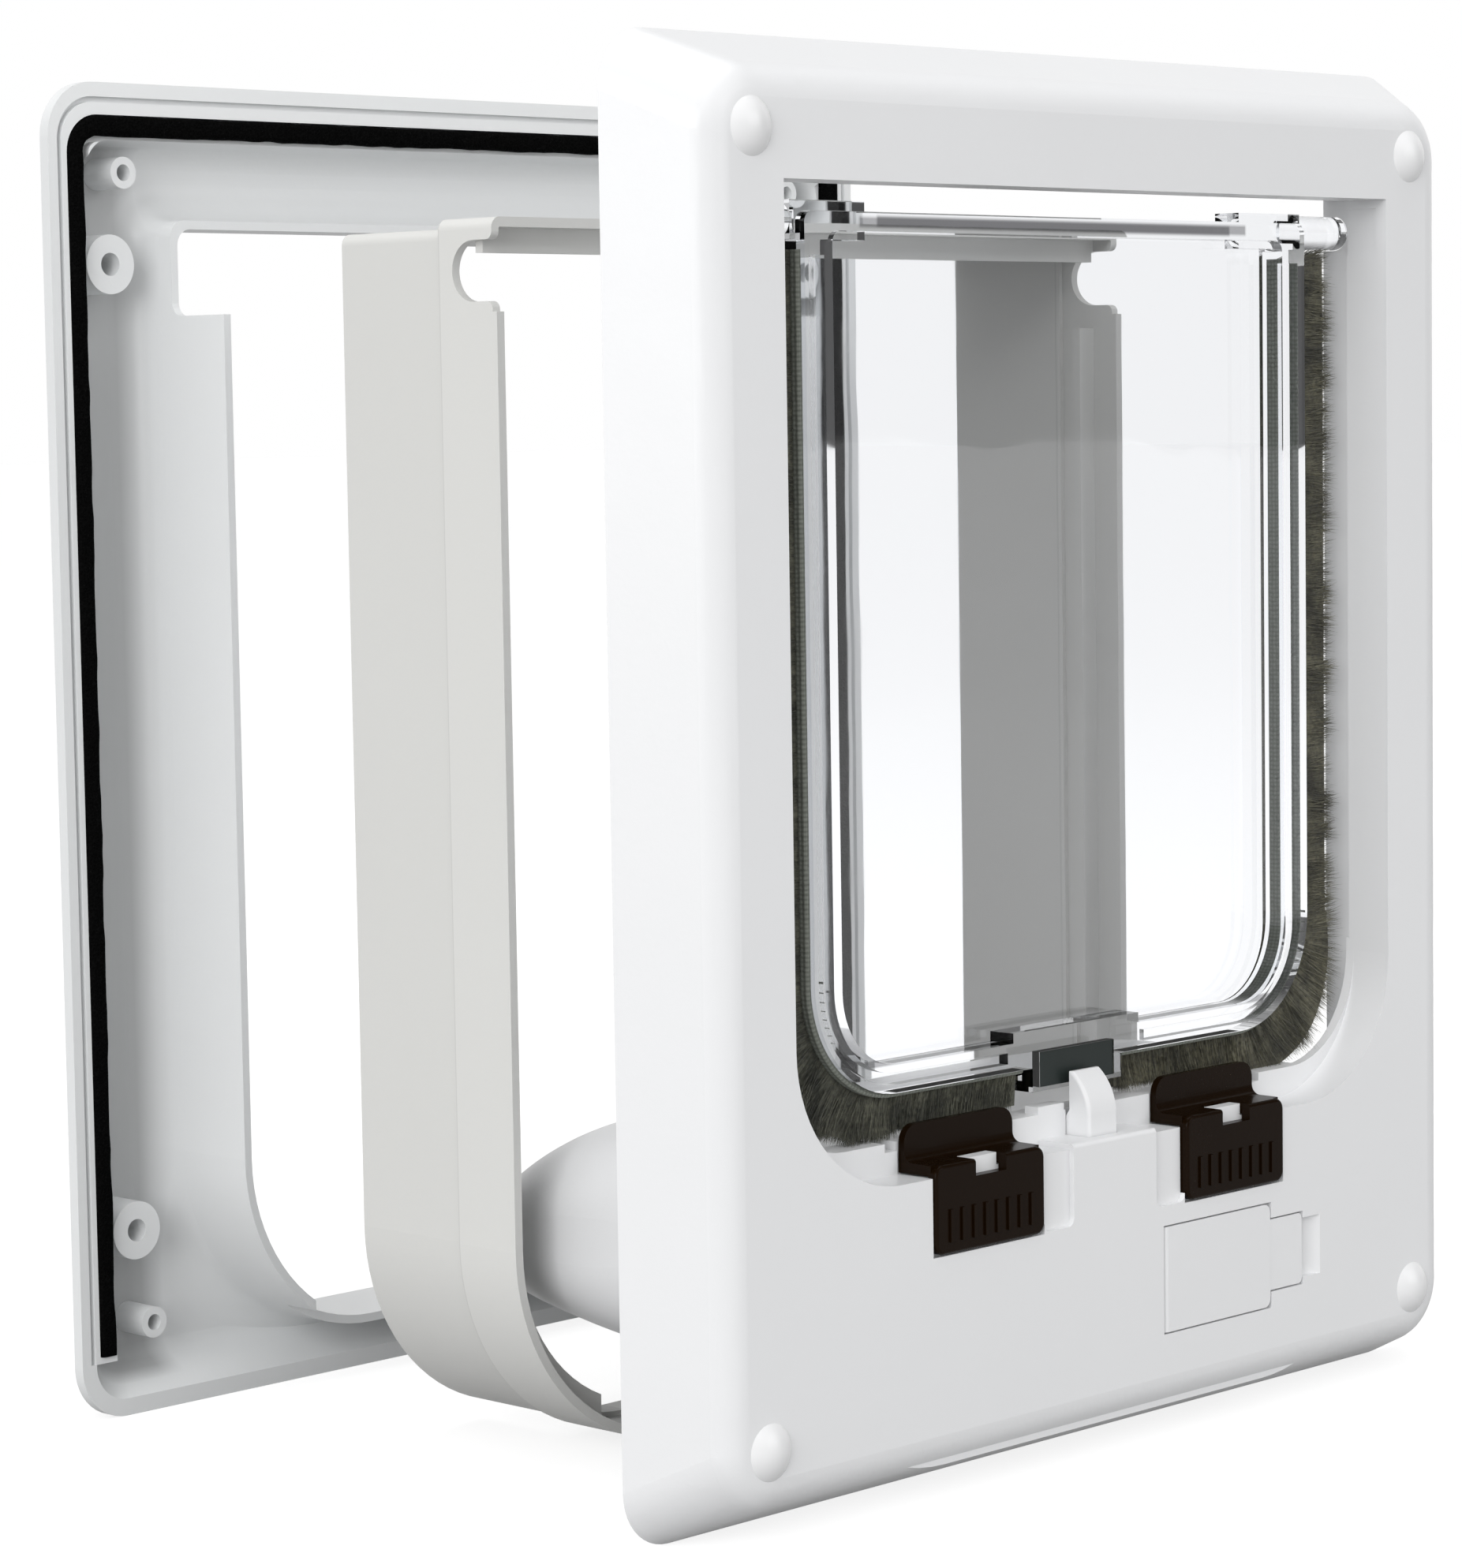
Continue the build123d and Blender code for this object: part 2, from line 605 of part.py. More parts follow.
def make_slider(x):
    """Brown lock: ribbed grip plate, shelf with its guide slot, and the tab that blocks the flap."""
    half = GRIP_W / 2
    plate = block(x - half, x + half, GRIP_FRONT_Y, GRIP_BACK_Y, GRIP_LOW, GRIP_HIGH)
    plate = fillet(plate.edges().filter_by(Axis.Y), GRIP_R)
    front = plate.faces().sort_by(Axis.Y)[0]
    plate = fillet(front.edges(), 0.6)
    shelf_low = GRIP_HIGH - GRIP_T
    shelf = block(x - half + 0.1, x + half - 0.1, GRIP_BACK_Y - 0.5, TAB_BACK_Y, shelf_low, GRIP_HIGH)
    tab = block(x - half + 0.1, x + half - 0.1, TAB_BACK_Y - TAB_T, TAB_BACK_Y, shelf_low, TAB_TOP)
    tab = fillet(tab.edges().filter_by(Axis.Y).sort_by(Axis.Z)[-2:], TAB_CORNER_R)
    slider = plate + shelf + tab
    corner = slider.edges().filter_by(Axis.X).filter_by_position(Axis.Z, GRIP_HIGH - 0.01, GRIP_HIGH + 0.01)
    slider = fillet(corner.sort_by(Axis.Y)[-1:], TAB_ROOT_R)
    slot_half = SLIDER_SLOT_W / 2
    slider -= block(x - slot_half, x + slot_half, GRIP_FRONT_Y - 1, TAB_BACK_Y - TAB_T - TAB_ROOT_R, GRIP_HIGH - 2.8, TAB_TOP)
    first = x - GRIP_RIB_PITCH * (GRIP_RIBS - 1) / 2
    for i in range(GRIP_RIBS):
        rib_x = first + i * GRIP_RIB_PITCH
        z0 = GRIP_LOW + 2.0
        rib = block(
            rib_x - GRIP_RIB_W / 2, rib_x + GRIP_RIB_W / 2,
            GRIP_FRONT_Y - GRIP_RIB_PROUD, GRIP_FRONT_Y + 0.3, z0, z0 + GRIP_RIB_H,
        )
        slider += rib
    return slider


def make_pawl():
    """White latch: ramped nose in front of the flap, stem, and the foot over the spring."""
    half = PAWL_W / 2
    ramp_low = PAWL_RAMP_Z
    nose = make_face(
        Polyline((PAWL_BACK_Y, PAWL_TOP), (PAWL_BACK_Y, ramp_low + 1.8), (PAWL_HEEL_Y, ramp_low))
        + Polyline((PAWL_HEEL_Y, ramp_low), (PAWL_HEEL_Y, OPEN_LOW - 4), (PAWL_FRONT_Y, OPEN_LOW - 4))
        + Line((PAWL_FRONT_Y, OPEN_LOW - 4), (PAWL_FRONT_Y, ramp_low + 1.4))
        + ThreePointArc(
            (PAWL_FRONT_Y, ramp_low + 1.4),
            (PAWL_FRONT_Y + 1.25, PAWL_TOP - 3.0),
            (PAWL_BACK_Y - 0.6, PAWL_TOP),
        )
        + Line((PAWL_BACK_Y - 0.6, PAWL_TOP), (PAWL_BACK_Y, PAWL_TOP))
    )
    pawl = extrude(Plane.YZ.offset(-half) * nose, amount=PAWL_W)
    front = pawl.faces().filter_by(GeomType.CYLINDER).edges()
    pawl = fillet(front.filter_by_position(Axis.X, -half - 0.01, -half + 0.01), PAWL_EDGE_R)
    stem = block(-half, half, PAWL_FRONT_Y + 1.0, PAWL_HEEL_Y, PAWL_FOOT_Z, OPEN_LOW - 3)
    foot = block(-half, half, PAWL_FRONT_Y + 1.0, COIL_Y + SPRING_R, PAWL_FOOT_Z, PAWL_FOOT_Z + PAWL_FOOT_T)
    return pawl + stem + foot


def make_coil():
    """Bobbin with its winding, flanged at both ends, with a bore for the plunger."""
    winding_r = COIL_R - 0.8
    coil = rod_z(0, COIL_Y, winding_r, COIL_LOW, COIL_HIGH)
    coil += rod_z(0, COIL_Y, COIL_R, COIL_LOW, COIL_LOW + COIL_FLANGE_T)
    coil += rod_z(0, COIL_Y, COIL_R, COIL_HIGH - COIL_FLANGE_T, COIL_HIGH)
    return coil - rod_z(0, COIL_Y, COIL_BORE_R, COIL_LOW + COIL_FLANGE_T, COIL_HIGH + 1)


def make_plunger():
    return rod_z(0, COIL_Y, PLUNGER_R, PLUNGER_LOW, PAWL_FOOT_Z)


def make_spring():
    """Compression spring between the coil and the pawl's foot."""
    low = COIL_HIGH + SPRING_WIRE_R
    height = PAWL_FOOT_Z - COIL_HIGH - 2 * SPRING_WIRE_R
    path = Pos(0, COIL_Y, low) * Helix(height / SPRING_TURNS, height, SPRING_R - SPRING_WIRE_R)
    start = path @ 0
    section = Plane(origin=start, z_dir=path % 0) * Circle(SPRING_WIRE_R)
    return sweep(section, path=path, is_frenet=True)


def housing_section(inset, angle):
    """Section of the rear housing where its side profile, half an ellipse, has turned by angle."""
    turn = math.radians(angle)
    y = HOUSING_L * math.sin(turn)
    full = (HOUSING_HIGH - HOUSING_LOW) / 2
    half = full * math.cos(turn)
    mid = (HOUSING_HIGH + HOUSING_LOW) / 2 + HOUSING_RISE * math.sin(math.pi * y / HOUSING_L)
    r_low = HOUSING_R_NOSE * half + (HOUSING_R_ROOT - HOUSING_R_NOSE * full) * max(0, 1 - y / HOUSING_BLEND)
    r_high = HOUSING_R_HIGH * half / full
    width = HOUSING_W - HOUSING_DRAW * (full - half)
    shape = outline(width, mid - half, mid + half, r_low, r_high)
    if inset > 0:
        shape = offset(shape, -inset, kind=Kind.INTERSECTION)
    return door_plane(y) * shape


def housing_form(inset, last_angle):
    """Rounded nose lofted from its root to the section at the last angle."""
    steps = 7
    sections = [housing_section(inset, last_angle * i / steps) for i in range(steps + 1)]
    return loft(sections)


def make_housing():
    """Hollow housing behind the sill, closed to the rear, with the battery's sleeve in it."""
    body = housing_form(0, HOUSING_END) + extrude(housing_section(0, 0), amount=HOUSING_WALL)
    hollow = housing_form(HOUSING_WALL, HOUSING_END - 7)
    hollow += extrude(housing_section(HOUSING_WALL, 0), amount=HOUSING_WALL + 1)
    body -= hollow
    pad_w = HOUSING_POST_R + 1.2
    inner = slab(outline(HOUSING_W - 1, HOUSING_LOW + 1, HOUSING_HIGH - 1, HOUSING_R_ROOT, 8), -HOUSING_WALL, 4)
    for side in SIDES:
        xs = sorted((side * (HOUSING_SCREW_X - pad_w), side * HOUSING_W / 2))
        pad = block(xs[0], xs[1], -HOUSING_WALL, 0, HOUSING_LOW, HOUSING_HIGH)
        body += pad & inner
        for z in HOUSING_SCREW_Z:
            body -= rod_y(side * HOUSING_SCREW_X, z, HOUSING_SCREW_R + 0.05, -HOUSING_WALL - 1, 1)
    half_w = BATTERY_W / 2 + BATTERY_GAP
    half_h = BATTERY_H / 2 + BATTERY_GAP
    sleeve_y1 = BATTERY_BACK_Y + CONTACT_T + SLEEVE_WALL
    body += block(
        DOOR_MID_X - half_w - SLEEVE_WALL, DOOR_MID_X + half_w + SLEEVE_WALL,
        FACE_BACK_Y, sleeve_y1,
        DOOR_MID_Z - half_h - SLEEVE_WALL, DOOR_MID_Z + half_h + SLEEVE_WALL,
    )
    body += block(DOOR_MID_X + half_w, HOUSING_W / 2, 2.0, 4.0, DOOR_MID_Z - 1, DOOR_MID_Z + 1) & inner
    return body - block(
        DOOR_MID_X - half_w, DOOR_MID_X + half_w,
        FACE_BACK_Y - 1, sleeve_y1 - SLEEVE_WALL,
        DOOR_MID_Z - half_h, DOOR_MID_Z + half_h,
    )


def make_housing_screw(x, z):
    """Small pan-head screw through the housing's flange into its post."""
    shank = rod_y(x, z, HOUSING_SCREW_R - 0.05, -HOUSING_SCREW_L + 0.5, 0)
    return shank + rod_y(x, z, HOUSING_HEAD_R, 0, HOUSING_HEAD_T)


def make_board():
    """Circuit board on its two posts, with the driver chip and a capacitor."""
    board = block(BOARD_X0, BOARD_X1, BOARD_Y, BOARD_Y + BOARD_T, BOARD_LOW, BOARD_HIGH)
    mid = (BOARD_X0 + BOARD_X1) / 2
    top_y = BOARD_Y + BOARD_T
    chip_low = BOARD_LOW + CHIP_LOW
    board += block(mid - CHIP_W / 2, mid + CHIP_W / 2, top_y, top_y + CHIP_T, chip_low, chip_low + CHIP_H)
    return board + rod_y(mid + CAPACITOR_X, BOARD_LOW + CAPACITOR_LOW, CAPACITOR_R, top_y, top_y + CAPACITOR_L)


def make_reed_switch():
    """Glass reed switch lying along the board's upper edge."""
    y = BOARD_Y + BOARD_T + REED_R
    mid = (BOARD_X0 + BOARD_X1) / 2
    return rod_x(y, BOARD_HIGH - 4, REED_R, mid - REED_L / 2, mid + REED_L / 2)


def make_battery():
    """Block battery pushed in end-on."""
    half_w = BATTERY_W / 2
    half_h = BATTERY_H / 2
    cell = block(
        DOOR_MID_X - half_w, DOOR_MID_X + half_w,
        BATTERY_FRONT_Y, BATTERY_BACK_Y - STUD_L,
        DOOR_MID_Z - half_h, DOOR_MID_Z + half_h,
    )
    cell = fillet(cell.edges().filter_by(Axis.Y), 1.5)
    for side in SIDES:
        x = DOOR_MID_X + side * STUD_PITCH / 2
        cell += rod_y(x, DOOR_MID_Z, STUD_R, BATTERY_BACK_Y - STUD_L, BATTERY_BACK_Y)
    return cell


def make_contacts():
    """Snap plate at the closed end of the sleeve, against the battery's studs."""
    half_w = BATTERY_W / 2
    half_h = BATTERY_H / 2
    y0 = BATTERY_BACK_Y
    plate = block(
        DOOR_MID_X - half_w, DOOR_MID_X + half_w, y0, y0 + CONTACT_T,
        DOOR_MID_Z - half_h, DOOR_MID_Z + half_h,
    )
    return plate


def make_cover():
    """Battery cover: flush plate with a full-round hinge edge and a raised snap tongue."""
    x0 = DOOR_PIVOT_X
    x1 = DOOR_X1 - DOOR_GAP
    y0 = -FRAME_T
    y1 = -FRAME_T + DOOR_T - 0.05
    z0 = DOOR_LOW + DOOR_GAP
    z1 = DOOR_HIGH - DOOR_GAP
    r = DOOR_T / 2
    plate = block(x0, x1, y0, y1, z0, z1)
    plate = fillet(plate.edges().filter_by(Axis.Y).sort_by(Axis.X)[-2:], DOOR_R)
    plate += Pos(x0, DOOR_PIVOT_Y, (z0 + z1) / 2) * Cylinder(r - 0.03, z1 - z0)
    tongue = block(
        x1 - 1, DOOR_X1 + TONGUE_L, y0 + 0.1, y0 + TONGUE_T,
        DOOR_MID_Z - TONGUE_H / 2, DOOR_MID_Z + TONGUE_H / 2,
    )
    tongue = fillet(tongue.edges().filter_by(Axis.Y).sort_by(Axis.X)[-2:], 1.0)
    return plate + tongue


def liner_outline(inset, step):
    """Ring outline of the liner, drawn in by inset; step is 1 for the narrower rear part."""
    draw = inset + step * LINER_STEP
    top = LINER_TOP - inset - step * LINER_STEP_TOP
    return outline(LINER_W - 2 * draw, LINER_LOW + draw, top, LINER_R - draw, max(2.0 - inset, 0.3))


def make_liner():
    """Pale ring with hinge notches, an inner stop rib and a floor only near its front."""
    seam_y = LINER_Y0 + LINER_SEAM
    body = ring(liner_outline(0, 0), liner_outline(LINER_WALL, 0), LINER_Y0, seam_y)
    body += ring(liner_outline(0, 1), liner_outline(LINER_WALL, 1), seam_y - 1, LINER_Y1)
    floor_y = LINER_Y0 + LINER_FLOOR_L
    half = LINER_FLOOR_HALF
    body -= block(-half, half, floor_y, LINER_Y1 + 1, -5, MID_Z / 2)

    rib_y = LINER_Y0 + LINER_RIB_Y
    rib = liner_outline(LINER_WALL - 0.3, 0) - liner_outline(LINER_WALL + LINER_RIB_H, 0)
    notch_zone = Pos(0, (LINER_RIB_TOP + LINER_TOP) / 2)
    notch_zone *= Rectangle(LINER_W + 2, LINER_TOP - LINER_RIB_TOP)
    top_zone = Pos(0, LINER_TOP) * Rectangle(LINER_W, 2 * (LINER_RIB_H + LINER_WALL))
    floor_zone = Pos(0, LINER_LOW) * Rectangle(2 * LINER_RIB_END_X, LINER_R)
    rib = rib - (notch_zone - top_zone) - floor_zone
    body += slab(rib, rib_y, rib_y + LINER_RIB_T)

    set_back_y = LINER_Y0 + LINER_SET_BACK
    body -= block(-LINER_W, LINER_W, LINER_Y0 - 1, set_back_y, LINER_SET_BACK_Z, LINER_TOP + 1)
    centre_y = LINER_Y0 + NOTCH_DEPTH - NOTCH_R
    for side in SIDES:
        xs = sorted((side * (LINER_HALF - LINER_WALL - 0.5), side * (LINER_HALF + 1)))
        body -= rod_x(centre_y, NOTCH_Z, NOTCH_R, xs[0], xs[1])
        body -= block(xs[0], xs[1], LINER_Y0 - 1, centre_y, NOTCH_Z - NOTCH_R, NOTCH_Z + NOTCH_R)
    return round_notch_lips(body)


def round_notch_lips(body):
    """Round the front corners of the hook above each notch and of the wall below it."""
    hook_low = NOTCH_Z + NOTCH_R
    wall_top = NOTCH_Z - NOTCH_R
    y = LINER_Y0 + LINER_SET_BACK
    edges = body.edges().filter_by(Axis.X).filter_by_position(Axis.Y, y - 0.01, y + 0.01)
    upper = edges.filter_by_position(Axis.Z, hook_low - 0.1, hook_low + 0.1)
    lower = edges.filter_by_position(Axis.Z, wall_top - 0.1, wall_top + 0.1)
    return fillet(list(upper) + list(lower), NOTCH_LIP_R)


def make_outer_frame():
    """Hollow outside frame, seen from its door side: rim, foam ledge, stub flange and bosses."""
    side_y = OUTER_Y + OUTER_SIDE
    form = bezel(OUTER_Y, side_y, OUTER_BACK_Y, OUTER_BEVEL, OUTER_BEVEL, OUTER_ROLL_R)
    face_in_y = OUTER_BACK_Y - OUTER_WALL
    split = FOAM_END_Z - FOAM_END_RIB
    below = block(-FRAME_W, FRAME_W, OUTER_Y - 1, OUTER_BACK_Y + 1, -1, split)
    body = form - (outer_hollow(FOAM_EDGE + FOAM_W, face_in_y) - below)
    body -= outer_hollow(HOLLOW_LOW, face_in_y) & below

    groove_out = rim_outline(RIM_W, RIM_TOP_W, FRAME_CORNER_R - RIM_W)
    inset = RIM_W + GROOVE_W
    groove_in = rim_outline(inset, RIM_TOP_W + GROOVE_W, FRAME_CORNER_R - inset)
    body -= ring(groove_out, groove_in, OUTER_Y - 1, OUTER_Y + GROOVE_D) - below
    above_end = block(-FRAME_W, FRAME_W, OUTER_Y - 1, OUTER_BACK_Y, FOAM_END_Z, FRAME_H)
    body -= ring(foam_outline(0), foam_outline(FOAM_W + 1), OUTER_Y - 1, OUTER_Y + LEDGE_D) & above_end
    body += stub_solid(face_in_y, form)
    body += boss_set(face_in_y)
    body -= slab(stub_outline(STUB_WALL), OUTER_Y - STUB_SIDE_L - 1, OUTER_BACK_Y + 1)
    return cut_bosses(body)


def rim_outline(side_in, top_in, r):
    """Outline drawn in from the outer frame's rim by one inset at the sides and one at the top."""
    return outline(FRAME_W - 2 * side_in, side_in, FRAME_H - top_in, r, r)


def outer_hollow(side_in, face_in_y):
    """Hollow of the outer frame, from its mouth in the rim to its scooped back."""
    top = FRAME_H - FOAM_TOP_EDGE - FOAM_W
    back_in = max(side_in + HOLLOW_DRAW, HOLLOW_BACK_IN)
    mouth = outline(FRAME_W - 2 * side_in, HOLLOW_LOW, top, HOLLOW_R, HOLLOW_R)
    back = outline(FRAME_W - 2 * back_in, HOLLOW_BACK_IN, top - HOLLOW_DRAW, HOLLOW_R, HOLLOW_R)
    solid = loft([door_plane(OUTER_Y) * mouth, door_plane(face_in_y) * back], ruled=True)
    edges = solid.edges().filter_by_position(Axis.Y, face_in_y - 0.01, face_in_y + 0.01)
    return fillet(edges, HOLLOW_SCOOP_R)


def foam_outline(inset):
    """Outline of the foam strip's path, drawn in by inset from its outer edge."""
    return rim_outline(FOAM_EDGE + inset, FOAM_TOP_EDGE + inset, FOAM_CORNER_R - inset)


def stub_outline(inset):
    """Outline of the stub flange, drawn in by inset from its outer side."""
    return outline(
        STUB_W - 2 * inset, STUB_LOW + inset, STUB_HIGH - inset, STUB_R - inset, STUB_TOP_R,
    )


def stub_solid(face_in_y, form):
    """Flange that reaches towards the liner, flared into the back wall and short above and below."""
    tip_y = OUTER_Y - STUB_SIDE_L
    straight = slab(stub_outline(0), tip_y, face_in_y)
    margin = 2 * STUB_FLARE_R
    plate = outline(STUB_W + 2 * margin, STUB_LOW - margin, STUB_HIGH + margin, HOLLOW_R, HOLLOW_R)
    stub = slab(plate, face_in_y, face_in_y + 0.5) + straight
    root = stub.edges().filter_by_position(Axis.Y, face_in_y - 0.01, face_in_y + 0.01)
    root = root.filter_by_position(Axis.X, -STUB_W / 2 - 0.1, STUB_W / 2 + 0.1)
    root = root.filter_by_position(Axis.Z, STUB_LOW - 0.1, STUB_HIGH + 0.1)
    stub = fillet(root, STUB_FLARE_R) & (form + straight)

    short_y = OUTER_Y - STUB_TOP_L
    notch = block(-FRAME_W, FRAME_W, tip_y - 1, short_y, STUB_NOTCH_Z, FRAME_H)
    corner = notch.edges().filter_by(Axis.X).filter_by_position(Axis.Y, short_y - 0.01, short_y + 0.01)
    stub -= fillet(corner.sort_by(Axis.Z)[:1], STUB_NOTCH_R)
    floor_y = OUTER_Y - STUB_FLOOR_L
    return stub - block(-STUB_FLOOR_HALF, STUB_FLOOR_HALF, tip_y - 1, floor_y, 0, MID_Z)


def boss_set(face_in_y):
    """Round bosses in the hollow for the fixing screws."""
    bosses = Part()
    y0 = OUTER_Y + BOSS_SET_BACK
    for side in SIDES:
        for z in BIG_BOSS_Z:
            bosses += rod_y(side * BIG_BOSS_X, z, BIG_BOSS_R, y0, face_in_y + 0.5)
        for z in SCREW_Z:
            bosses += rod_y(side * SCREW_PITCH_X / 2, z, SMALL_BOSS_R, y0, face_in_y + 0.5)
    return bosses


def cut_bosses(body):
    y1 = OUTER_BACK_Y - OUTER_WALL
    for side in SIDES:
        for z in BIG_BOSS_Z:
            body -= rod_y(side * BIG_BOSS_X, z, BIG_BOSS_HOLE_R, OUTER_Y - 1, y1)
        for z in SCREW_Z:
            body -= rod_y(side * SCREW_PITCH_X / 2, z, SMALL_BOSS_HOLE_R, OUTER_Y - 1, y1)
    return body


def make_foam():
    """Black foam strip along the top and both sides of the outer frame's ledge."""
    y1 = OUTER_Y + LEDGE_D
    strip = ring(foam_outline(FOAM_GAP), foam_outline(FOAM_W - FOAM_GAP), y1 - FOAM_T, y1)
    return strip - block(-FRAME_W, FRAME_W, OUTER_Y - 10, OUTER_BACK_Y, -1, FOAM_END_Z)


def make_parts():
    """Every piece by its node name."""
    parts = {"front_frame": make_front_frame()}
    number = 1
    for z in SCREW_Z[::-1]:
        for side in SIDES:
            parts[f"screw_cap_{number}"] = make_screw_cap(side * SCREW_PITCH_X / 2, z)
            number += 1
    parts["flap_panel"] = make_flap()
    parts["flap_magnet"] = make_magnet()
    for side, word in zip(SIDES, ("left", "right")):
        backing, pile = make_brush(side)
        parts[f"brush_backing_{word}"] = backing
        parts[f"brush_pile_{word}"] = pile
        parts[f"lock_slider_{word}"] = make_slider(slider_x(side))
    parts["latch_pawl"] = make_pawl()
    parts["solenoid_plunger"] = make_plunger()
    parts["solenoid_coil"] = make_coil()
    parts["latch_spring"] = make_spring()
    parts["rear_housing"] = make_housing()
    number = 1
    for z in HOUSING_SCREW_Z:
        for side in SIDES:
            parts[f"housing_screw_{number}"] = make_housing_screw(side * HOUSING_SCREW_X, z)
            number += 1
    parts["circuit_board"] = make_board()
    parts["reed_switch"] = make_reed_switch()
    parts["battery"] = make_battery()
    parts["battery_contacts"] = make_contacts()
    parts["battery_cover"] = make_cover()
    parts["tunnel_liner"] = make_liner()
    parts["outer_frame"] = make_outer_frame()
    parts["foam_seal"] = make_foam()
    return parts


def main():
    os.makedirs("parts", exist_ok=True)
    for name, shape in make_parts().items():
        placed = Pos(0, -CENTRE_Y, 0) * shape
        placed.label = name
        export_step(placed, f"parts/{name}.step")


main()
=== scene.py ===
import json
import math
import random

import bpy
from mathutils import Matrix, Vector


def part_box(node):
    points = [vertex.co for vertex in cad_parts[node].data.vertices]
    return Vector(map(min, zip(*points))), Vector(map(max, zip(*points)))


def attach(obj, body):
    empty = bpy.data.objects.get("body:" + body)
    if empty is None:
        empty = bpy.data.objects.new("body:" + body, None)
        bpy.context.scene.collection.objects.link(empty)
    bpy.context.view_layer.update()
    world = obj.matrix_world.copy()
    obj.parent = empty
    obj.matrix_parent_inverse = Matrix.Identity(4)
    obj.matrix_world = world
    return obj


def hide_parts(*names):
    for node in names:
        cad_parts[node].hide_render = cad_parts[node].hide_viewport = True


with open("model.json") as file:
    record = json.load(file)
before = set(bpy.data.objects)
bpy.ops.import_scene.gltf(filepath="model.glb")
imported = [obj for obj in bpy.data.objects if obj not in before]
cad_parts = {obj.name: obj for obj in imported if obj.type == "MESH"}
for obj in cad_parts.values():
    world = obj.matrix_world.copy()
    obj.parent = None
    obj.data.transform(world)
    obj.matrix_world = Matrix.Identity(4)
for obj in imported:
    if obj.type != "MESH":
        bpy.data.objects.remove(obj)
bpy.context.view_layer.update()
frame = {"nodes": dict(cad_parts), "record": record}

MM = 0.001
FRAME_DEPTH = 16.0
LINER_SEAM = 14.4
OUTER_DEPTH = 12.0
DOOR_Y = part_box("front_frame")[0].y + FRAME_DEPTH * MM

# Camera, in millimetres from the middle of the front frame's door face at floor level
CAMERA_AT = (-597.0, -507.5, 185.2)
CAMERA_YAW = 45.64
CAMERA_PITCH = 4.92
CAMERA_ROLL = -0.90
CAMERA_FOCAL_PX = 5663.5
PHOTO_LONG_PX = 1988.0
SENSOR_MM = 36.0


def place(x, y, z):
    """A point in the row frame from millimetres measured at the front frame's door face."""
    return Vector((x * MM, DOOR_Y + y * MM, z * MM))


def make_camera():
    yaw = math.radians(CAMERA_YAW)
    pitch = math.radians(CAMERA_PITCH)
    roll = math.radians(CAMERA_ROLL)
    ahead = Vector((math.sin(yaw) * math.cos(pitch), math.cos(yaw) * math.cos(pitch), -math.sin(pitch)))
    right = Vector((math.cos(yaw), -math.sin(yaw), 0))
    up = right.cross(ahead)
    side = math.cos(roll) * right + math.sin(roll) * up
    top = -math.sin(roll) * right + math.cos(roll) * up
    data = bpy.data.cameras.new("camera")
    data.sensor_fit = "AUTO"
    data.sensor_width = SENSOR_MM
    data.lens = CAMERA_FOCAL_PX * SENSOR_MM / PHOTO_LONG_PX
    data.clip_start = 0.01
    data.clip_end = 50
    camera = bpy.data.objects.new("camera", data)
    turn = Matrix((side, top, -ahead)).transposed()
    camera.matrix_world = Matrix.Translation(place(*CAMERA_AT)) @ turn.to_4x4()
    bpy.context.scene.collection.objects.link(camera)
    bpy.context.scene.camera = camera


def new_material(name):
    """A node material with its Principled shader ready."""
    material = bpy.data.materials.new(name)
    material.use_nodes = True
    nodes = material.node_tree.nodes
    return material, nodes, material.node_tree.links, nodes["Principled BSDF"]


def add_noise(nodes, links, coords, scale, detail=3.0, roughness=0.5):
    noise = nodes.new("ShaderNodeTexNoise")
    noise.inputs["Scale"].default_value = scale
    noise.inputs["Detail"].default_value = detail
    noise.inputs["Roughness"].default_value = roughness
    links.new(coords, noise.inputs["Vector"])
    return noise.outputs["Fac"]


def add_range(nodes, links, value, low, high, from_low=0.3, from_high=0.7):
    remap = nodes.new("ShaderNodeMapRange")
    remap.inputs["From Min"].default_value = from_low
    remap.inputs["From Max"].default_value = from_high
    remap.inputs["To Min"].default_value = low
    remap.inputs["To Max"].default_value = high
    links.new(value, remap.inputs["Value"])
    return remap.outputs["Result"]


def add_math(nodes, links, operation, first, second):
    step = nodes.new("ShaderNodeMath")
    step.operation = operation
    for socket, value in zip(step.inputs, (first, second)):
        if isinstance(value, float):
            socket.default_value = value
        else:
            links.new(value, socket)
    return step.outputs[0]


def add_product(nodes, links, first, *others):
    for other in others:
        first = add_math(nodes, links, "MULTIPLY", first, other)
    return first


def split_coords(nodes, links, kind):
    """The x, y and z of a texture coordinate, such as Object for the place or Normal for the facing."""
    split = nodes.new("ShaderNodeSeparateXYZ")
    links.new(nodes.new("ShaderNodeTexCoord").outputs[kind], split.inputs[0])
    return split.outputs


def add_mix(nodes, links, factor, first, second):
    mix = nodes.new("ShaderNodeMix")
    mix.data_type = "RGBA"
    links.new(factor, mix.inputs["Factor"])
    mix.inputs["A"].default_value = (*first, 1)
    mix.inputs["B"].default_value = (*second, 1)
    return mix.outputs["Result"]


def add_bump(nodes, links, shader, height, distance, strength=1.0):
    bump = nodes.new("ShaderNodeBump")
    bump.inputs["Distance"].default_value = distance
    bump.inputs["Strength"].default_value = strength
    links.new(height, bump.inputs["Height"])
    links.new(bump.outputs["Normal"], shader.inputs["Normal"])


def add_band(nodes, links, value, low, high, soft):
    """1 between low and high, with soft edges."""
    rise = add_range(nodes, links, value, 0.0, 1.0, low - soft, low + soft)
    fall = add_range(nodes, links, value, 1.0, 0.0, high - soft, high + soft)
    return add_math(nodes, links, "MULTIPLY", rise, fall)


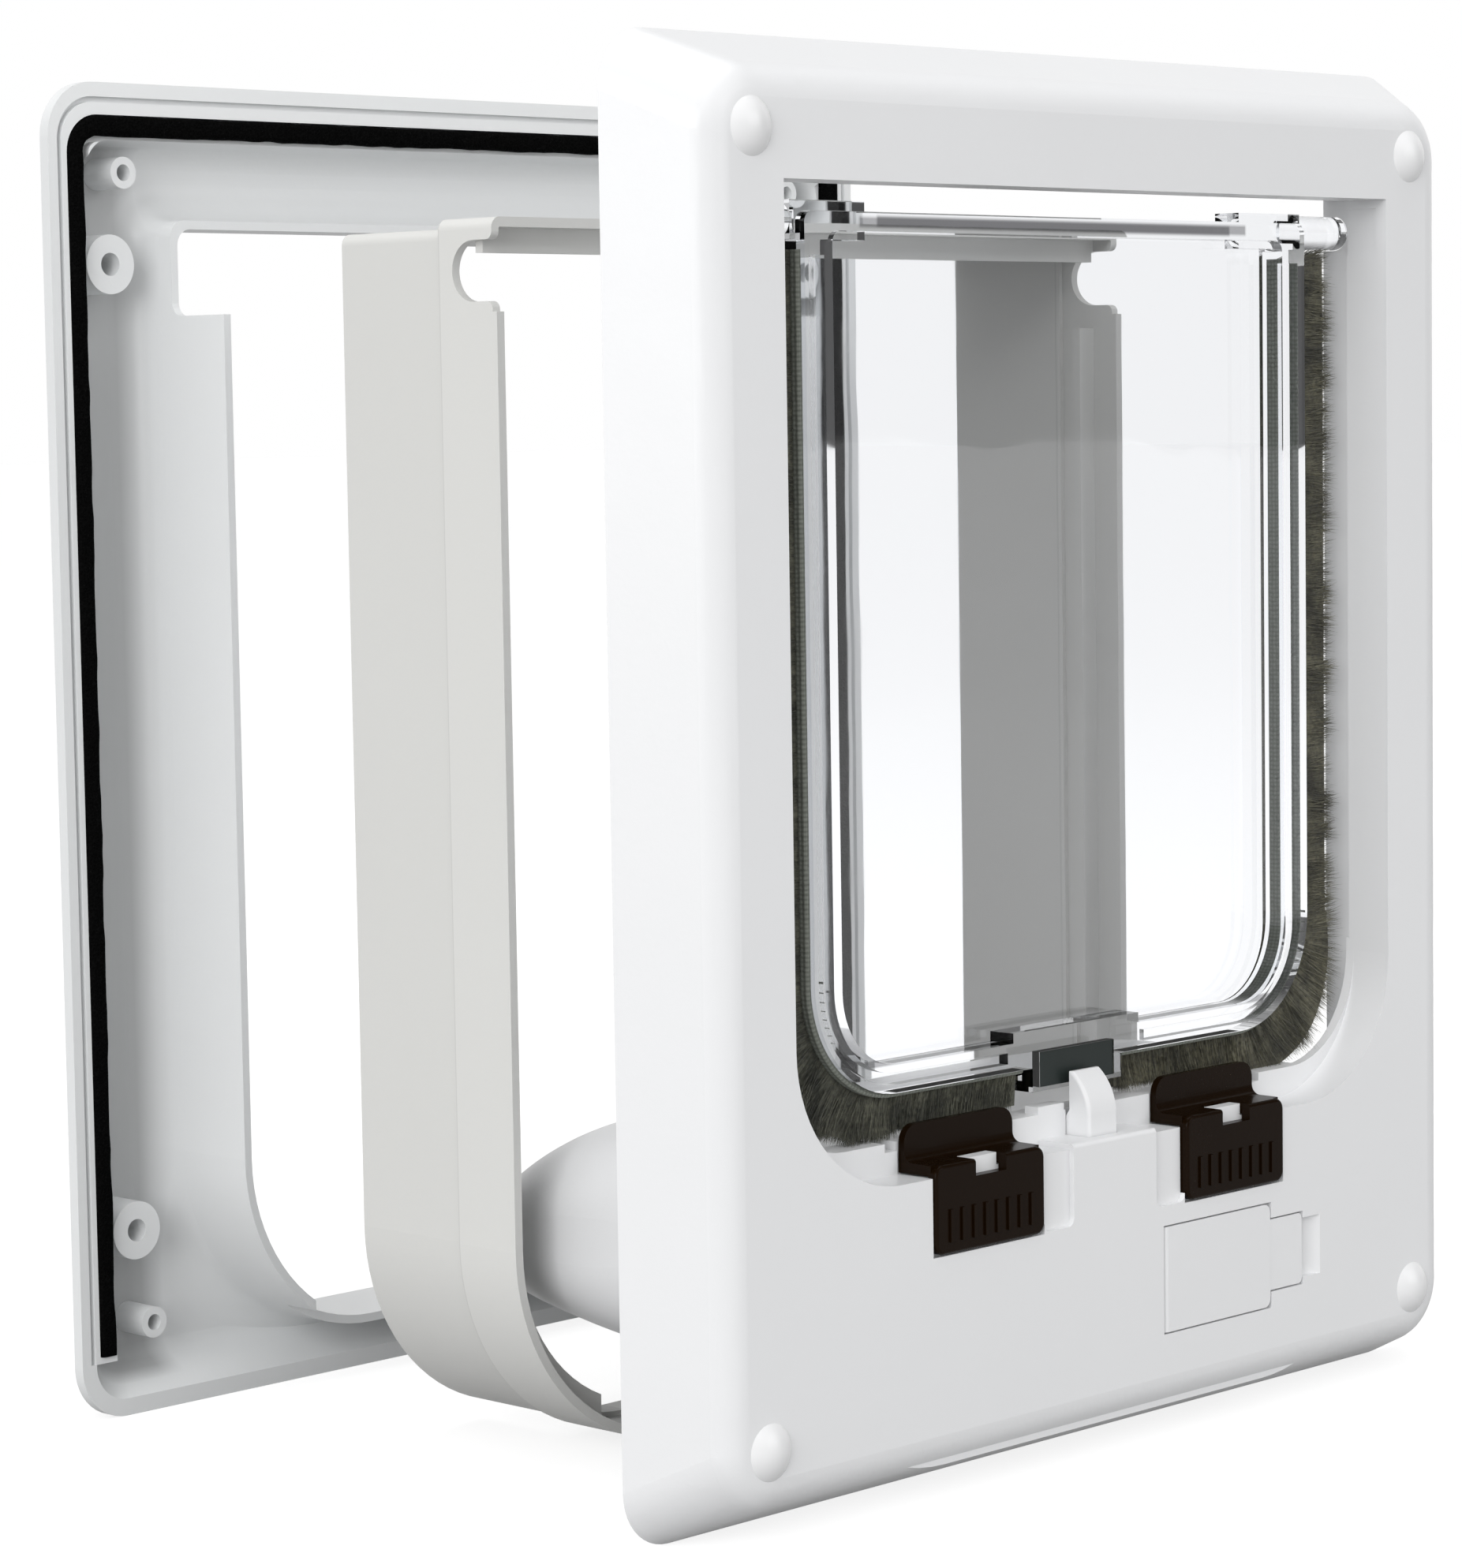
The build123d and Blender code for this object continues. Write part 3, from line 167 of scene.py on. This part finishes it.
EDGE_SOFT = 0.0001
# Painted shade in the outer frame's gully: how soft its edge is, and how much of the colour it takes off
GULLY_SOFT = 0.005
GULLY_SHADE_DIM = 0.38
SEAM_DIM = 0.86
BEHIND_SEAM_DIM = 0.965
# Painted shade on the tunnel liner's inner faces: the share of colour left there
LINER_INSIDE_SHADE = 0.64
RAIL_LOW = 0.0042
RAIL_HIGH = 0.0024
RAIL_HALF = 0.0490
RIM_LAND = 0.0074


def plastic(name, tone, shade, gloss, peel=0.00002, peel_scale=900.0, mottle_scale=28.0, shine=0.5):
    """Moulded plastic: faint clouding in its colour and gloss, and a fine skin texture."""
    material, nodes, links, shader = new_material(name)
    coords = nodes.new("ShaderNodeTexCoord").outputs["Object"]
    cloud = add_noise(nodes, links, coords, mottle_scale, 4.0)
    links.new(add_mix(nodes, links, cloud, shade, tone), shader.inputs["Base Color"])
    polish = add_noise(nodes, links, coords, mottle_scale * 3.1, 3.0)
    links.new(add_range(nodes, links, polish, gloss - 0.02, gloss + 0.02), shader.inputs["Roughness"])
    shader.inputs["Specular IOR Level"].default_value = shine
    skin = add_noise(nodes, links, coords, peel_scale, 2.0)
    add_bump(nodes, links, shader, skin, peel)
    return material


def dim_colour(nodes, links, shader, amount):
    """Multiply the colour that the shader has by an amount."""
    cloud = shader.inputs["Base Color"].links[0].from_socket
    dim = nodes.new("ShaderNodeMix")
    dim.data_type = "RGBA"
    dim.blend_type = "MULTIPLY"
    dim.inputs["Factor"].default_value = 1.0
    links.new(cloud, dim.inputs["A"])
    grey = nodes.new("ShaderNodeCombineColor")
    for socket in grey.inputs:
        links.new(amount, socket)
    links.new(grey.outputs[0], dim.inputs["B"])
    links.new(dim.outputs["Result"], shader.inputs["Base Color"])


def hollow_shaded_plastic(name, tone, shade, gloss, mouth_y, gully, rim):
    """Moulded plastic with painted shade darkening its colour down in the gully along the sides between two
    distances from the middle.
    """
    material = plastic(name, tone, shade, gloss)
    nodes, links = material.node_tree.nodes, material.node_tree.links
    x, y, _ = split_coords(nodes, links, "Object")
    across = add_math(nodes, links, "ABSOLUTE", x, 0.0)
    rise = add_range(nodes, links, across, 0.0, 1.0, gully, gully + GULLY_SOFT)
    fall = add_range(nodes, links, across, 1.0, 0.0, rim - EDGE_SOFT, rim)
    deep = add_range(nodes, links, y, 0.0, 1.0, mouth_y + 0.003, mouth_y + 0.006)
    inner = add_range(nodes, links, split_coords(nodes, links, "Normal")[1], 1.0, 0.0, -0.45, -0.10)
    # painted shade: the share of colour taken off on front-facing faces deep in the gully
    painted_shade = add_product(nodes, links, rise, fall, inner, deep, -GULLY_SHADE_DIM)
    dim_colour(nodes, links, nodes["Principled BSDF"], add_math(nodes, links, "ADD", painted_shade, 1.0))
    return material


def seamed_shaded_plastic(name, tone, shade, gloss, seam_y):
    """Moulded plastic with a fine witness line round it at one depth, and painted shade darkening its colour
    on its inner side.
    """
    material = plastic(name, tone, shade, gloss)
    nodes, links = material.node_tree.nodes, material.node_tree.links
    x, y, _ = split_coords(nodes, links, "Object")
    away = add_math(nodes, links, "ABSOLUTE", add_math(nodes, links, "SUBTRACT", y, seam_y), 0.0)
    line = add_range(nodes, links, away, SEAM_DIM, 1.0, 0.00010, 0.00030)
    behind = add_range(nodes, links, y, 1.0, BEHIND_SEAM_DIM, seam_y - EDGE_SOFT, seam_y + EDGE_SOFT)
    # painted shade: faces turned toward the middle of the tunnel are darkened
    inward = add_product(nodes, links, split_coords(nodes, links, "Normal")[0], x)
    painted_inside_shade = add_range(nodes, links, inward, LINER_INSIDE_SHADE, 1.0, -0.004, 0.0)
    dim_colour(nodes, links, nodes["Principled BSDF"], add_product(nodes, links, line, behind, painted_inside_shade))
    return material


def clear_plastic(name):
    """Clear polished plastic with painted shade: dark bands painted into its colour along the hinge rail and
    along the foot of the rim.
    """
    material, nodes, links, shader = new_material(name)
    coords = nodes.new("ShaderNodeTexCoord").outputs["Object"]
    shader.inputs["Transmission Weight"].default_value = 1.0
    x, y, z = split_coords(nodes, links, "Object")
    across = add_math(nodes, links, "ABSOLUTE", x, 0.0)
    low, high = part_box("flap_panel")
    rail = add_product(
        nodes, links,
        add_band(nodes, links, z, high.z - RAIL_LOW, high.z - RAIL_HIGH, 0.0003),
        add_range(nodes, links, across, 1.0, 0.0, RAIL_HALF, RAIL_HALF + 0.0006),
    )
    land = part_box("brush_backing_left")[0].z + RIM_LAND
    foot = add_product(
        nodes, links,
        add_band(nodes, links, z, land - 0.0017, land - 0.0004, 0.0002),
        add_band(nodes, links, across, 0.0205, 0.0560, 0.0015),
        add_range(nodes, links, y, 1.0, 0.0, low.y + 0.0002, low.y + 0.0004),
    )
    # painted shade: the band along the hinge rail and the band along the foot of the rim are tinted dark
    deep = add_math(nodes, links, "MAXIMUM", rail, foot)
    links.new(
        add_mix(nodes, links, deep, (0.955, 0.965, 0.985), (0.20, 0.20, 0.21)),
        shader.inputs["Base Color"],
    )
    shader.inputs["IOR"].default_value = 1.49
    shader.inputs["Specular IOR Level"].default_value = 0.3
    rub = add_noise(nodes, links, coords, 60.0, 5.0)
    links.new(add_range(nodes, links, rub, 0.0, 0.03), shader.inputs["Roughness"])
    ripple = add_noise(nodes, links, coords, 45.0, 1.0)
    add_bump(nodes, links, shader, ripple, 0.00004)
    return material


def metal(name, tone, shade, gloss, scale=400.0):
    material, nodes, links, shader = new_material(name)
    coords = nodes.new("ShaderNodeTexCoord").outputs["Object"]
    shader.inputs["Metallic"].default_value = 1.0
    grain = add_noise(nodes, links, coords, scale, 4.0)
    links.new(add_mix(nodes, links, grain, shade, tone), shader.inputs["Base Color"])
    links.new(add_range(nodes, links, grain, gloss - 0.08, gloss + 0.1), shader.inputs["Roughness"])
    return material


def foam(name):
    """Black closed-cell foam with open pores at its cut face."""
    material, nodes, links, shader = new_material(name)
    coords = nodes.new("ShaderNodeTexCoord").outputs["Object"]
    cells = nodes.new("ShaderNodeTexVoronoi")
    cells.inputs["Scale"].default_value = 2200.0
    links.new(coords, cells.inputs["Vector"])
    links.new(
        add_mix(nodes, links, cells.outputs["Distance"], (0.001, 0.001, 0.001), (0.004, 0.004, 0.004)),
        shader.inputs["Base Color"],
    )
    shader.inputs["Roughness"].default_value = 1.0
    shader.inputs["Specular IOR Level"].default_value = 0.03
    add_bump(nodes, links, shader, cells.outputs["Distance"], 0.0002)
    return material


def pile(name, deep, tip):
    """Dyed wool fibres, each a little lighter or browner than the next."""
    material, nodes, links, shader = new_material(name)
    coords = nodes.new("ShaderNodeTexCoord").outputs["Object"]
    strand = add_noise(nodes, links, coords, 1400.0, 2.0)
    tuft = add_noise(nodes, links, coords, 160.0, 2.0)
    factor = add_range(nodes, links, add_product(nodes, links, strand, tuft), 0.0, 1.0, 0.12, 0.42)
    links.new(add_mix(nodes, links, factor, deep, tip), shader.inputs["Base Color"])
    shader.inputs["Roughness"].default_value = 0.75
    shader.inputs["Sheen Weight"].default_value = 0.3
    shader.inputs["Sheen Roughness"].default_value = 0.5
    return material


def woven(name):
    """Backing tape: an over-and-under weave laid out on the strip's own lengths."""
    material, nodes, links, shader = new_material(name)
    coords = nodes.new("ShaderNodeTexCoord").outputs["UV"]
    checks = nodes.new("ShaderNodeTexVoronoi")
    checks.inputs["Scale"].default_value = 1.25
    checks.inputs["Randomness"].default_value = 0.15
    links.new(coords, checks.inputs["Vector"])
    links.new(
        add_mix(nodes, links, checks.outputs["Distance"], (0.30, 0.32, 0.28), (0.085, 0.09, 0.075)),
        shader.inputs["Base Color"],
    )
    shader.inputs["Roughness"].default_value = 0.7
    add_bump(nodes, links, shader, checks.outputs["Distance"], 0.0003, 0.8)
    return material


def paint_nodes():
    """A material for every CAD node."""
    white = plastic("white", (0.800, 0.805, 0.815), (0.780, 0.785, 0.795), 0.30)
    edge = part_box("outer_frame")[1]
    # the outer frame's colour carries painted shade down in its gully
    outer = hollow_shaded_plastic(
        "outer_white", (0.800, 0.812, 0.816), (0.785, 0.797, 0.802), 0.34,
        edge.y - OUTER_DEPTH * MM, edge.x - 0.0265, edge.x - 0.0045,
    )
    seam_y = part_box("tunnel_liner")[0].y + LINER_SEAM * MM
    grey = seamed_shaded_plastic("liner_grey", (0.730, 0.730, 0.710), (0.715, 0.715, 0.695), 0.40, seam_y)
    cap = plastic("cap_white", (0.810, 0.812, 0.818), (0.795, 0.797, 0.803), 0.22)
    brown = plastic("slider_brown", (0.0105, 0.0048, 0.0016), (0.0070, 0.0032, 0.0011), 0.24, shine=0.07)
    clear = clear_plastic("flap_clear")
    magnet = plastic(
        "magnet_dark", (0.024, 0.032, 0.030), (0.014, 0.019, 0.018), 0.42,
        peel=0.00004, peel_scale=300.0, mottle_scale=90.0, shine=0.25,
    )
    steel = metal("steel", (0.62, 0.62, 0.63), (0.50, 0.50, 0.51), 0.30)
    copper = metal("copper", (0.60, 0.28, 0.13), (0.42, 0.18, 0.08), 0.35, 900.0)
    board = plastic("board_green", (0.02, 0.13, 0.06), (0.015, 0.10, 0.045), 0.35)
    black = plastic("black", (0.020, 0.020, 0.021), (0.014, 0.014, 0.015), 0.45)
    by_slot = {
        "frame_white": white,
        "cap_white": cap,
        "latch_white": white,
        "outer_white": outer,
        "liner_grey": grey,
        "flap_clear": clear,
        "magnet_dark": magnet,
        "brush_woven": black,
        "brush_pile": black,
        "slider_brown": brown,
        "steel": steel,
        "copper": copper,
        "board_green": board,
        "reed_glass": clear,
        "battery_case": black,
        "contact_black": black,
        "foam_black": black,
    }
    for entry in frame["record"]["subparts"]:
        node = frame["nodes"][entry["node"]]
        node.data.materials.clear()
        node.data.materials.append(by_slot[entry["material_slot"]])


def build_mesh(name, verts, faces, material, uvs=None):
    mesh = bpy.data.meshes.new(name)
    mesh.from_pydata(verts, [], faces)
    mesh.materials.append(material)
    if uvs is not None:
        layer = mesh.uv_layers.new(name="strip")
        flat = [c for face in faces for v in face for c in uvs[v]]
        layer.data.foreach_set("uv", flat)
    mesh.update()
    piece = bpy.data.objects.new(name, mesh)
    bpy.context.scene.collection.objects.link(piece)
    return piece


class RimPath:
    """Line round one side of the flap's rim: down its side, round the corner, in to the magnet."""

    CORNER_R = 20.8

    def __init__(self, side):
        name = "left" if side < 0 else "right"
        low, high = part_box(f"brush_backing_{name}")
        self.side = side
        self.half = max(abs(low.x), abs(high.x)) / MM
        self.inner = min(abs(low.x), abs(high.x)) / MM
        self.bottom = low.z / MM
        self.top = high.z / MM
        self.straight = self.top - self.bottom - self.CORNER_R
        self.arc = self.CORNER_R * math.pi / 2
        self.floor = self.half - self.CORNER_R - self.inner
        self.length = self.straight + self.arc + self.floor

    def at(self, s):
        """Point (x, z) and outward direction (x, z) at length s, in millimetres."""
        if s < self.straight:
            x, z, turn = self.half, self.top - s, 0.0
        elif s < self.straight + self.arc:
            turn = (s - self.straight) / self.CORNER_R
            x = self.half - self.CORNER_R + self.CORNER_R * math.cos(turn)
            z = self.bottom + self.CORNER_R - self.CORNER_R * math.sin(turn)
        else:
            x = self.half - self.CORNER_R - (s - self.straight - self.arc)
            z, turn = self.bottom, math.pi / 2
        return (self.side * x, z), (self.side * math.cos(turn), -math.sin(turn))


def wander(rng, length, pitch):
    """Smooth random line along a length, as a function, from -1 to 1."""
    count = int(length / pitch) + 3
    knots = [rng.uniform(-1, 1) for _ in range(count)]

    def value(s):
        place_s = max(0.0, min(s / pitch, count - 1.001))
        i = int(place_s)
        t = place_s - i
        t = t * t * (3 - 2 * t)
        return knots[i] * (1 - t) + knots[i + 1] * t

    return value


FIBRES = 30000
FIBRE_W = 0.13
PILE_Y = -3.6
PILE_HALF_T = 1.5
PILE_SIDE_L = {-1: 9.6, 1: 10.7}
PILE_CORNER_L = {-1: 2.0, 1: 5.2}
PILE_FLOOR_L = 7.2
PILE_CORE = 0.80
FLOOR_LEAN = 0.22
CORE_STEPS = 150


def pile_length(path, s):
    """Length of the pile at s: longest round the corner, shortest along the bottom."""
    turn = min(max((s - path.straight - path.arc * 0.45) / (path.arc * 0.7), 0.0), 1.0)
    side_l = PILE_SIDE_L[path.side]
    round_s = min(max((s - path.straight) / path.arc, 0.0), 1.0)
    corner_l = PILE_CORNER_L[path.side] * math.sin(math.pi * round_s)
    return side_l + (PILE_FLOOR_L - side_l) * turn + corner_l


def make_pile(side, material):
    """Wool pile: a dense core strip with leaning fibres over it."""
    name = "left" if side < 0 else "right"
    path = RimPath(side)
    rng = random.Random(11 + side)
    lean_slow = wander(rng, path.length, 9.0)
    lean_fast = wander(rng, path.length, 1.7)
    reach = wander(rng, path.length, 2.6)
    spread = wander(rng, path.length, 2.1)
    verts = []
    faces = []
    for _ in range(FIBRES):
        s = rng.uniform(0.0, path.length)
        (x, z), (nx, nz) = path.at(s)
        tx, tz = nz, -nx
        y = PILE_Y + PILE_HALF_T * rng.uniform(-1, 1)
        full = pile_length(path, s) * min(0.92 + 0.10 * reach(s) + rng.uniform(-0.12, 0.10), 1.0)
        start = full * rng.choice((0.0, 0.0, 0.25, 0.5))
        lean = 0.10 * lean_slow(s) + 0.16 * lean_fast(s) + rng.uniform(-0.14, 0.14)
        if s > path.straight + path.arc * 0.5:
            lean -= FLOOR_LEAN * side
        out_y = 0.10 * spread(s) + rng.uniform(-0.16, 0.16)
        curl = rng.uniform(-0.10, 0.10)
        roll = rng.uniform(0, math.pi)
        wx = math.cos(roll) * tx
        wz = math.cos(roll) * tz
        wy = math.sin(roll)
        base = len(verts)
        for share, width in ((0.0, 1.0), (0.6, 0.8)):
            d = start + (full - start) * share
            bend = lean * d + curl * d * share
            px = x + nx * d + tx * bend
            pz = z + nz * d + tz * bend
            py = y + out_y * d * share
            w = FIBRE_W / 2 * width
            verts.append(place(px - wx * w, py - wy * w, pz - wz * w))
            verts.append(place(px + wx * w, py + wy * w, pz + wz * w))
        bend = lean * full + curl * full
        verts.append(place(x + nx * full + tx * bend, y + out_y * full, z + nz * full + tz * bend))
        faces.append((base, base + 1, base + 3, base + 2))
        faces.append((base + 2, base + 3, base + 4))
    core_start = len(verts)
    for i in range(CORE_STEPS + 1):
        s = path.length * i / CORE_STEPS
        (x, z), (nx, nz) = path.at(s)
        d = pile_length(path, s) * PILE_CORE
        for along, y in ((0.0, -1.3), (d, -0.9), (d, 0.9), (0.0, 1.3)):
            verts.append(place(x + nx * along, PILE_Y + y, z + nz * along))
    for i in range(CORE_STEPS):
        a = core_start + 4 * i
        b = a + 4
        for k in range(4):
            m = (k + 1) % 4
            faces.append((a + k, a + m, b + m, b + k))
    faces.append(tuple(core_start + k for k in (3, 2, 1, 0)))
    faces.append(tuple(core_start + 4 * CORE_STEPS + k for k in range(4)))
    piece = build_mesh(f"brush_fibres_{name}", verts, faces, material)
    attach(piece, "flap")
    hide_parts(f"brush_pile_{name}")


def make_backing(side, material):
    """Woven tape bonded to the rim's outer side, with a rounded selvedge."""
    name = "left" if side < 0 else "right"
    path = RimPath(side)
    low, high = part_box(f"brush_backing_{name}")
    y0 = (low.y - DOOR_Y) / MM
    y1 = (high.y - DOOR_Y) / MM
    thick = 0.8
    section = ((y0, -thick), (y0, -0.25), (y0 + 0.3, 0.0), (y1 - 0.3, 0.0), (y1, -0.25), (y1, -thick))
    steps = 200
    verts, uvs, faces = [], [], []
    for i in range(steps + 1):
        s = path.length * i / steps
        (x, z), (nx, nz) = path.at(s)
        for y, out in section:
            verts.append(place(x + nx * out, y, z + nz * out))
            uvs.append((s, y - out))
    count = len(section)
    for i in range(steps):
        for k in range(count):
            m = (k + 1) % count
            a = i * count
            b = a + count
            faces.append((a + k, a + m, b + m, b + k))
    faces.append(tuple(range(count))[::-1])
    faces.append(tuple(steps * count + k for k in range(count)))
    piece = build_mesh(f"woven_tape_{name}", verts, faces, material, uvs)
    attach(piece, "flap")
    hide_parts(f"brush_backing_{name}")


FOAM_STRIP_W = 3.7
FOAM_CORNER_R = 6.9


def make_foam(material):
    """Foam strip stuck along the outer frame's ledge, its edges a little uneven."""
    low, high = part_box("foam_seal")
    half = high.x / MM
    top = high.z / MM
    bottom = low.z / MM
    y0 = (low.y - DOOR_Y) / MM
    y1 = (high.y - DOOR_Y) / MM
    rng = random.Random(5)
    radius = FOAM_CORNER_R
    side_l = top - radius - bottom
    arc_l = radius * math.pi / 2
    top_l = 2 * (half - radius)
    total = 2 * side_l + 2 * arc_l + top_l
    outer_edge = wander(rng, total, 5.0)
    inner_edge = wander(rng, total, 3.2)
    face = wander(rng, total, 6.0)

    def at(s):
        if s < side_l:
            return (-half, bottom + s), (-1.0, 0.0)
        s -= side_l
        if s < arc_l:
            turn = s / radius
            centre = (-half + radius, top - radius)
            out = (-math.cos(turn), math.sin(turn))
        elif s < arc_l + top_l:
            return (-half + radius + s - arc_l, top), (0.0, 1.0)
        elif s < 2 * arc_l + top_l:
            turn = (s - arc_l - top_l) / radius
            centre = (half - radius, top - radius)
            out = (math.sin(turn), math.cos(turn))
        else:
            return (half, top - radius - (s - 2 * arc_l - top_l)), (1.0, 0.0)
        return (centre[0] + radius * out[0], centre[1] + radius * out[1]), out

    steps = 460
    verts, faces = [], []
    for i in range(steps + 1):
        s = min(total * i / steps, total - 1e-6)
        (x, z), (nx, nz) = at(s)
        a = 0.10 + 0.10 * outer_edge(s)
        b = FOAM_STRIP_W - 0.12 - 0.16 * inner_edge(s)
        lift = 0.12 * face(s)
        section = (
            (a, y1), (a, y0 + 0.5 + lift), (a + 0.35, y0 + 0.1 + lift), (a + 0.9, y0 + lift),
            (b - 0.9, y0 + lift), (b - 0.35, y0 + 0.1 + lift), (b, y0 + 0.5 + lift), (b, y1),
        )
        for d, y in section:
            verts.append(place(x - nx * d, y, z - nz * d))
    count = 8
    for i in range(steps):
        for k in range(count):
            m = (k + 1) % count
            a = i * count
            b = a + count
            faces.append((a + k, b + k, b + m, a + m))
    faces.append(tuple(range(count)))
    faces.append(tuple(steps * count + k for k in range(count))[::-1])
    piece = build_mesh("foam_strip", verts, faces, material)
    for polygon in piece.data.polygons:
        polygon.use_smooth = True
    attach(piece, "frame")
    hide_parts("foam_seal")


FLOOR_REACH = 12.0
FLOOR_GREY = 0.34
FLOOR_GLOW = {"Is Camera Ray": 0.80, "Is Transmission Ray": 0.765, "Is Glossy Ray": 0.35}


def make_floor():
    """White sweep that keeps a faint shadow under the frames."""
    mesh = bpy.data.meshes.new("floor")
    corners = [(x * FLOOR_REACH, y * FLOOR_REACH, 0) for x, y in ((-1, -1), (1, -1), (1, 1), (-1, 1))]
    mesh.from_pydata(corners, [], [(0, 1, 2, 3)])
    floor = bpy.data.objects.new("floor", mesh)
    bpy.context.scene.collection.objects.link(floor)
    material = bpy.data.materials.new("floor_white")
    material.use_nodes = True
    nodes, links = material.node_tree.nodes, material.node_tree.links
    shader = nodes["Principled BSDF"]
    shader.inputs["Base Color"].default_value = (FLOOR_GREY, FLOOR_GREY, FLOOR_GREY, 1)
    shader.inputs["Roughness"].default_value = 0.9
    light = nodes.new("ShaderNodeLightPath")
    strength = 0.0
    for ray, glow in FLOOR_GLOW.items():
        seen = add_product(nodes, links, light.outputs[ray], glow)
        strength = add_math(nodes, links, "MAXIMUM", seen, strength)
    links.new(strength, shader.inputs["Emission Strength"])
    shader.inputs["Emission Color"].default_value = (1, 1, 1, 1)
    mesh.materials.append(material)


FILL_FRONT = 1.0
FILL_REAR = 0.26
GLASS_SIDE = 0.50
GLASS_DARK = 0.08
GLASS_HIGH = 0.25


def make_world():
    """Soft fill, stronger from the camera's side; the clear flap sees a white sweep and darker sides."""
    world = bpy.data.worlds.new("studio")
    bpy.context.scene.world = world
    world.use_nodes = True
    nodes, links = world.node_tree.nodes, world.node_tree.links
    back = nodes["Background"]
    back.inputs["Color"].default_value = (1, 1, 1, 1)
    x, y, z = split_coords(nodes, links, "Generated")
    diagonal = add_math(nodes, links, "ADD", x, y)
    fill = add_range(nodes, links, diagonal, FILL_FRONT, FILL_REAR, -0.9, 0.6)
    sweep = add_range(nodes, links, diagonal, 0.0, 1.0, 0.41, 0.85)
    height = add_math(nodes, links, "ABSOLUTE", z, 0.0)
    level = add_range(nodes, links, height, 1.0, GLASS_HIGH, 0.30, 0.60)
    light = nodes.new("ShaderNodeLightPath")
    clear_ray, glossy_ray = light.outputs["Is Transmission Ray"], light.outputs["Is Glossy Ray"]
    aside = add_range(nodes, links, add_math(nodes, links, "SUBTRACT", x, y), 0.0, GLASS_SIDE, 0.6, 1.2)
    aside = add_product(nodes, links, aside, clear_ray)
    sweep = add_math(nodes, links, "MAXIMUM", sweep, add_math(nodes, links, "MAXIMUM", aside, GLASS_DARK))
    glassy = add_math(nodes, links, "MULTIPLY", sweep, level)
    through = add_math(nodes, links, "MAXIMUM", clear_ray, glossy_ray)
    some = add_math(nodes, links, "MULTIPLY", through, glassy)
    rest = add_math(nodes, links, "MULTIPLY", add_math(nodes, links, "SUBTRACT", 1.0, through), fill)
    lit = add_math(nodes, links, "ADD", some, rest)
    links.new(add_math(nodes, links, "MAXIMUM", lit, light.outputs["Is Camera Ray"]), back.inputs["Strength"])


def add_lamp(name, at, aim, size, power):
    data = bpy.data.lights.new(name, "AREA")
    data.shape = "RECTANGLE"
    data.size, data.size_y = size
    data.energy = power
    lamp = bpy.data.objects.new(name, data)
    lamp.location = at
    lamp.rotation_euler = (Vector(aim) - Vector(at)).to_track_quat("-Z", "Y").to_euler()
    bpy.context.scene.collection.objects.link(lamp)


def make_lamps():
    aim = (0, 0, 0.12)
    add_lamp("key", (-1.6, -0.62, 0.60), aim, (1.0, 1.0), 13.5)
    add_lamp("front", (0.7, -1.6, 0.7), aim, (1.2, 1.0), 6.0)
    add_lamp("top", (0.0, 0.1, 1.6), aim, (1.2, 1.2), 9.0)


make_camera()
paint_nodes()
wool_left = pile("wool_left", (0.030, 0.032, 0.022), (0.150, 0.150, 0.108))
# painted light: the right pile gets a lighter, warmer copy of the left wool, standing in for the light that
# falls on it
wool_right_painted_lit = pile("wool_right_painted_lit", (0.031, 0.030, 0.018), (0.175, 0.166, 0.108))
tape = woven("brush_tape")
for hand in (-1, 1):
    make_pile(hand, wool_left if hand < 0 else wool_right_painted_lit)
    make_backing(hand, tape)
make_foam(foam("foam"))
make_floor()
make_world()
make_lamps()
bpy.context.scene.view_settings.view_transform = "Standard"
